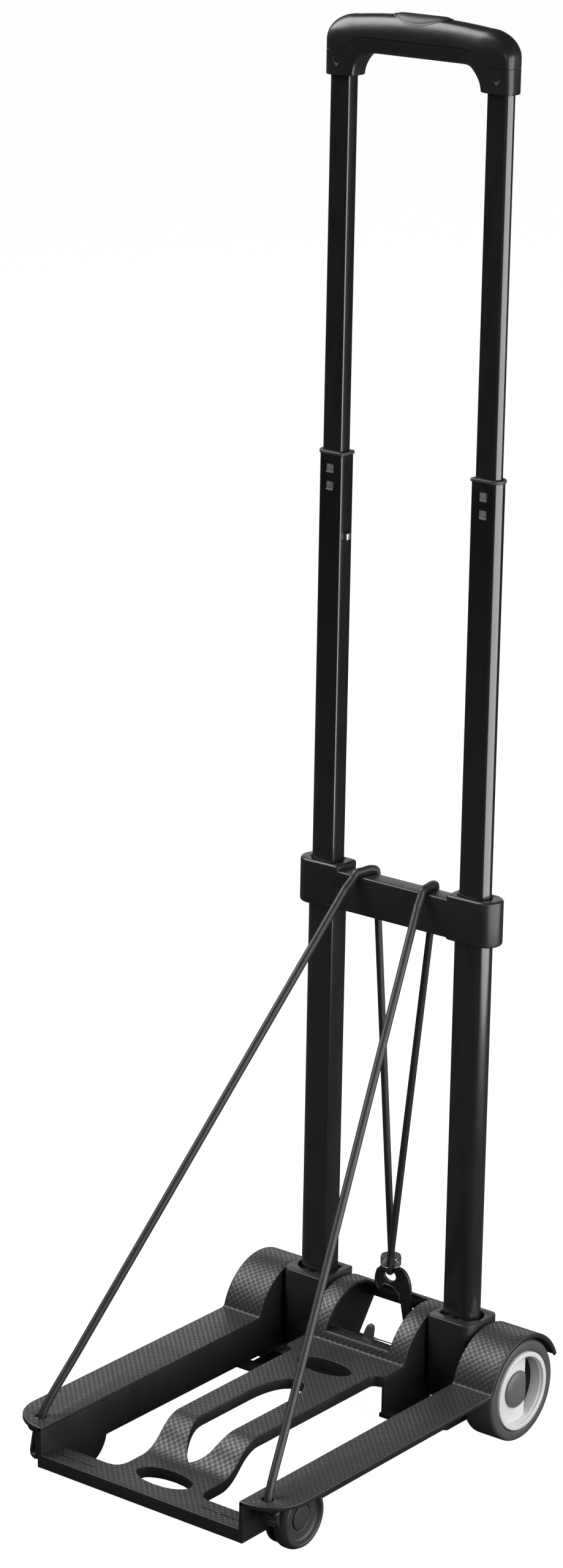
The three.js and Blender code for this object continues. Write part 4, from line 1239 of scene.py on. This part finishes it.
def build_button(grip_z):
    """Oval pad that follows the grip's top, and a thin dark ring round it, painted shade for the gap between
    pad and grip.
    """
    low, high = span("release_button")
    a_half = (high.x - low.x) / 2
    b_half = (high.y - low.y) / 2

    def surface_z(y):
        """Top of the grip's section at y."""
        square = 2.4
        t = min(abs(y) / (GRIP_DEPTH / 2), 1)
        return grip_z + (HANDLE_TOP - grip_z) * (1 - t ** square) ** (1 / square)

    rings = []
    for rho in (0.05, 0.3, 0.55, 0.75, 0.88, 0.95, 0.985, 1.0):
        lift = 1 - rho ** 14
        a, b = a_half * 0.965 * rho, b_half * 0.965 * rho
        points = [(a * math.cos(t), b * math.sin(t)) for t in turns(96)]
        rings.append([(x, y, surface_z(y) + lift) for x, y in points])
    rings.append([(x, y, z - 2.5) for x, y, z in rings[-1]])
    finish(loft(rings), "button_pad", "release", "button", ["release_button"], sharp=50)
    # A thin dark ring half sunk in the grip round the pad: painted shade standing for the gap.
    gap_shade_ring = []
    for t in turns(120):
        section = []
        for q in turns(8):
            scale = 1.01 + 0.028 * math.cos(q)
            y = b_half * (scale + 0.03 * math.cos(q)) * math.sin(t)
            section.append((a_half * scale * math.cos(t), y, surface_z(y) - 0.12 + 0.3 * math.sin(q)))
        gap_shade_ring.append(section)
    finish(hoop(gap_shade_ring), "button_bezel", "upper_section", "dark")


# ---- cord, ferrule and hook -----------------------------------------------------------------


def smooth_path(points, per_span=8):
    """Centripetal Catmull-Rom points through the given ones."""
    pts = [Vector(p) for p in points]
    ends = [2 * pts[0] - pts[1], *pts, 2 * pts[-1] - pts[-2]]
    path = []

    def between(p, q, t_p, t_q, t):
        return p * ((t_q - t) / (t_q - t_p)) + q * ((t - t_p) / (t_q - t_p))

    for a, b, c, d in zip(ends, ends[1:], ends[2:], ends[3:]):
        tb = math.sqrt((b - a).length)
        tc = tb + math.sqrt((c - b).length)
        td = tc + math.sqrt((d - c).length)
        for i in range(per_span):
            t = tb + (tc - tb) * i / per_span
            ab = between(a, b, 0, tb, t)
            bc = between(b, c, tb, tc, t)
            cd = between(c, d, tc, td, t)
            path.append(between(between(ab, bc, 0, tc, t), between(bc, cd, tb, td, t), tb, tc, t))
    path.append(pts[-1])
    return path


def rope(path, radius, sides=16):
    """A round cord along a path. UVs: x goes round once, y is the length in millimetres."""
    bm = bmesh.new()
    uv = bm.loops.layers.uv.new(UV_NAME)
    side = Vector((1, 0, 0))
    rows = []
    lengths = [0.0]
    for i, point in enumerate(path):
        before = path[max(i - 1, 0)]
        after = path[min(i + 1, len(path) - 1)]
        forward = (after - before).normalized()
        side = (side - forward * side.dot(forward)).normalized()
        up = forward.cross(side)
        ring = [point + (side * math.cos(a) + up * math.sin(a)) * radius for a in turns(sides)]
        rows.append([bm.verts.new(corner) for corner in ring])
        if i:
            lengths.append(lengths[-1] + (point - path[i - 1]).length)
    for i in range(len(rows) - 1):
        for k in range(sides):
            j = (k + 1) % sides
            face = bm.faces.new((rows[i][k], rows[i][j], rows[i + 1][j], rows[i + 1][k]))
            for corner, (u, v) in zip(face.loops, ((k, i), (k + 1, i), (k + 1, i + 1), (k, i + 1))):
                corner[uv].uv = (u / sides, lengths[v])
    bm.faces.new(rows[0][::-1])
    bm.faces.new(rows[-1])
    return bm


def build_cord():
    """Each half runs from a rail's hole over the brace's bridge and down to the hook's eye."""
    thick = CORD_R * 1.12
    top = BRIDGE_TOP + thick
    hole = CORD_HOLE
    eye_x, eye_y = centre_of("cord_ferrule").xy
    # Distances from the cart's middle line at which each half crosses the bridge, front to rear.
    crossing = {
        "left": (34, 31, 30, 28.4, 27.2, 26.3, 25.8),
        "right": (27.5, 27.3, 27, 26.4, 25.4, 24.4, 23.8),
    }
    for side, sign in SIDES.items():
        xs = [sign * x for x in crossing[side]]
        over = [  # round the bridge's front edge, along its top and down behind it
            (xs[0], BRIDGE_FRONT - 7.4, top - 11), (xs[1], BRIDGE_FRONT - 2.9, top - 4),
            (xs[2], BRIDGE_FRONT - 0.6, top - 0.6), (xs[3], -5, top), (xs[4], BRIDGE_REAR - 2.6, top),
            (xs[5], BRIDGE_REAR + 2.0, top - 1.9), (xs[6], BRIDGE_REAR + 2.6, top - 9),
        ]
        start = Vector((sign * (hole.x - 0.6), hole.y + 3, hole.z + 5))
        front = [
            (sign * hole.x, hole.y - 0.5, hole.z - 6), (sign * (hole.x - 0.4), hole.y + 1.6, hole.z + 2.5),
            *[start.lerp(Vector(over[0]), t) for t in (0.12, 0.3, 0.5, 0.7, 0.88, 1)],
        ]
        low_end = Vector((eye_x + 1.6 * sign, eye_y - 2.6 * sign, 104))
        rear = [Vector(over[-1]).lerp(low_end, t) for t in (0, 0.2, 0.4, 0.6, 0.8, 0.95, 1)]
        front_piece = finish(rope(smooth_path(front), thick), f"cord_front_{side}", None, "cord")
        to_world(front[1])
        to_world(over[0])
        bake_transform(front_piece)
        finish(rope(smooth_path(over), thick, 20), f"cord_over_{side}", "frame", "cord",
               ["elastic_cord"])
        rear_piece = finish(rope(smooth_path(rear), CORD_R), f"cord_rear_{side}", None, "cord")
        to_world(over[-1])
        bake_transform(rear_piece)
    # One loop through the hook's eye, from one rear strand to the other, with x and y from the ferrule.
    eye = [
        (-1.6, 2.6, 104), (-1.4, 3.2, 97), (-0.8, 3.4, 93), (-0.3, 2.0, 91.2), (0, 0, 90.4),
        (0.3, -2.0, 91.2), (0.8, -3.4, 93), (1.4, -3.2, 97), (1.6, -2.6, 104),
    ]
    loop = [(eye_x + x, eye_y + y, z) for x, y, z in eye]
    finish(rope(smooth_path(loop, 6), CORD_R * 0.92), "cord_eye_loop", "platform", "cord")
    build_knots()


def build_knots():
    """A pulled-tight overhand knot under each rail, with its tail."""
    under = DECK_Z - SKIN
    for side, sign in SIDES.items():
        centre = Vector((sign * (CORD_HOLE.x + 1.5), CORD_HOLE.y, under - 6.4))
        path = []
        for i in range(64):
            t = 2 * math.pi * i / 63 * 0.96 + 0.3
            x = math.sin(t) + 2 * math.sin(2 * t)
            z = math.cos(t) - 2 * math.cos(2 * t)
            y = -math.sin(3 * t)
            path.append(centre + Vector((sign * x * 2.3, y * 2.0, z * 1.15)))
        knot = rope(path, CORD_R * 0.95, 14)
        finish(knot, f"knot_{side}", "platform", "cord", [f"cord_knot_{side}"])
    # Each tail's thickness, its start and its way from there, with z from the rail's underside.
    tails = {
        "left": (0.8, -CORD_HOLE.x - 2, [
            (0, -1, -7), (1.5, -3, -13), (2.6, -3.5, -20), (0.5, -3, -26.5), (-3.4, -2, -25.5),
            (-3.6, -1, -18), (-2.4, -0.5, -9),
        ]),
        "right": (1.05, CORD_HOLE.x, [(-6, -2, -7), (2, -5, -8.5), (8, -6, -9), (12, -4, -8)]),
    }
    for side, (thickness, start_x, offsets) in tails.items():
        path = smooth_path([(start_x + x, CORD_HOLE.y + y, under + z) for x, y, z in offsets])
        finish(rope(path, CORD_R * thickness, 14), f"knot_tail_{side}", "platform", "cord")


def build_ferrule():
    low, high = span("cord_ferrule")
    r = (high.x - low.x) / 2
    ferrule = lathe(box_profile(r - 0.9, r, low.z, high.z, 0.3), "z", centre_of("cord_ferrule").xy)
    finish(ferrule, "clear_ferrule", "platform", "clear", ["cord_ferrule"])


def build_hook():
    """Flat hook: a plate with an eye and a throat, a bead along the throat and a claw below it."""
    low, high = span("cord_hook")
    eye_x = centre_of("cord_ferrule").x
    front = low.y
    throat = [
        *bezier((-13.2, 74.6), (-11.4, 78.2), (-9.2, 79.3), (-6.5, 79.4), 8),
        *bezier((-6.5, 79.4), (0, 79.4), (4.2, 76), (5, 70), 10)[1:], (7.6, 57), (8, 46),
    ]
    rim = [
        *bezier((-15.5, 74.8), (-19, 79), (-18.2, 86), (-14.8, 91), 12),
        *bezier((-14.8, 91), (-13.4, 93.6), (-11.5, 95), (-9, 95.4), 5)[1:], (3, 95.8),
        *bezier((3, 95.8), (9, 95.5), (13.4, 89), (13.7, 80), 12)[1:], (14.6, 66), (15.5, 46),
        *throat[::-1],
    ]
    eye = [(eye_x + 5.2 * c, 87.6 + 4 * s) for c, s in arc(0, 0, 1, 0, 352, 44)]
    finish(plate([rim, eye[::-1]], "y", front, front + 3.1, 0.9, 4), "hook_plate", "platform", "black",
           ["cord_hook"], sharp=50)
    bead = [(-14.6, 90.6), (-16.4, 84), (-16, 79), (-14.4, 76), *[(x, z + 0.9) for x, z in throat[::3]]]
    bead = [(x, front + 0.3, z) for x, z in bead]
    finish(rope(smooth_path(bead, 5), 1.1, 14), "hook_bead", "platform", "black", sharp=60)
    rear, thick = high.y, 3
    claw = [(front, 45), (rear, 45), (rear, 60), (rear - thick, 60), (rear - thick, 48.5), (front, 48.5)]
    finish(plate([claw], "x", 5.2, 10.8, 0.8, 4), "hook_claw", "platform", "black", sharp=50)


# ---- small CAD parts that stay --------------------------------------------------------------


def dress_cad_nodes():
    """Inner CAD parts keep their shape and get a finished material."""
    looks = {
        "rear_axle": "steel", "axle_washer": "steel", "front_axle": "steel", "socket_pin": "steel",
        "brace_screw": "steel", "middle_latch": "steel", "spring": "steel", "glide": "dark",
        "release_yoke": "dark",
    }
    for name, node in frame["nodes"].items():
        if node.hide_render:
            continue
        for key, look in looks.items():
            if key in name:
                node.data.materials.clear()
                node.data.materials.append(MAT[look])


# ---- stage ----------------------------------------------------------------------------------


def seen_directly(tree):
    return tree.nodes.new("ShaderNodeLightPath").outputs["Is Camera Ray"]


def build_stage():
    """White floor and surroundings for the camera, kept dim in what the cart mirrors."""
    mesh = bpy.data.meshes.new("floor")
    half = 9.0
    corners = [(-half, -half, 0), (half, -half, 0), (half, half, 0), (-half, half, 0)]
    mesh.from_pydata(corners, [], [(0, 1, 2, 3)])
    floor = bpy.data.objects.new("floor", mesh)
    bpy.context.scene.collection.objects.link(floor)
    s = Shader("floor", (0.9, 0.9, 0.9), 0.9, Specular_IOR_Level=0.0)
    direct = seen_directly(s.tree)
    s.vary_colour(direct, (0.06, 0.06, 0.06), (0.25, 0.25, 0.25))
    s.surface.inputs["Emission Color"].default_value = (1, 1, 1, 1)
    s.link(s.remap(direct, 0, 1, 0, 0.97), s.surface.inputs["Emission Strength"])
    mesh.materials.append(s.material)
    world = bpy.data.worlds.new("studio")
    world.use_nodes = True
    background = world.node_tree.nodes["Background"]
    background.inputs["Color"].default_value = (1, 1, 1, 1)
    strength = world.node_tree.nodes.new("ShaderNodeMapRange")
    strength.inputs["To Min"].default_value = 0.07
    strength.inputs["To Max"].default_value = 1.0
    world.node_tree.links.new(seen_directly(world.node_tree), strength.inputs["Value"])
    world.node_tree.links.new(strength.outputs["Result"], background.inputs["Strength"])
    bpy.context.scene.world = world
    bpy.context.scene.view_settings.view_transform = "Standard"


def area_light(name, place, aim, size, power):
    data = bpy.data.lights.new(name, "AREA")
    data.shape = "RECTANGLE"
    data.size, data.size_y = size
    data.energy = power
    lamp = bpy.data.objects.new(name, data)
    bpy.context.scene.collection.objects.link(lamp)
    lamp.location = place
    lamp.rotation_euler = (Vector(aim) - Vector(place)).to_track_quat("-Z", "Y").to_euler()
    lamp.visible_camera = False


# Name, place, aim, size (all in metres) and power in watts.
LIGHTS = (
    ("left_softbox", (-1.25, -0.45, 1.95), (0, 0, 0.85), (1.3, 1.7), 62),
    ("right_panel", (0.8, 0.13, 0.52), (0, 0.13, 0.52), (1.3, 0.98), 17),
    ("rear_fill", (-1.4, 1.9, 0.75), (0, 0, 0.2), (2.2, 1.0), 9),
    ("front_fill", (0.9, -2.2, 1.0), (0, 0, 0.3), (0.5, 0.5), 3),
)
AZIMUTH = math.radians(37.69)
ELEVATION = math.radians(17.02)
ROLL = math.radians(1.035)
CAMERA_DISTANCE = 3.052
CAMERA_TARGET = to_world((-104.4, -0.8, 433.1))
LENS = 100.49


def build_camera():
    flat = math.cos(ELEVATION)
    back = Vector((math.sin(AZIMUTH) * flat, -math.cos(AZIMUTH) * flat, math.sin(ELEVATION)))
    level = Vector((math.cos(AZIMUTH), math.sin(AZIMUTH), 0))
    upright = back.cross(level)
    right = level * math.cos(ROLL) + upright * math.sin(ROLL)
    up = back.cross(right)
    data = bpy.data.cameras.new("camera")
    data.lens = LENS
    data.sensor_width = 36
    data.clip_end = 30
    camera = bpy.data.objects.new("camera", data)
    bpy.context.scene.collection.objects.link(camera)
    turn = Matrix((right, up, back)).transposed().to_4x4()
    camera.matrix_world = Matrix.Translation(CAMERA_TARGET + back * CAMERA_DISTANCE) @ turn
    bpy.context.scene.camera = camera


build_rails()
build_deck()
build_hump()
build_rear_wheels()
build_front_wheels()
build_sockets()
build_tubes()
build_brace()
build_handle()
build_cord()
build_ferrule()
build_hook()
dress_cad_nodes()
build_stage()
for light in LIGHTS:
    area_light(*light)
build_camera()
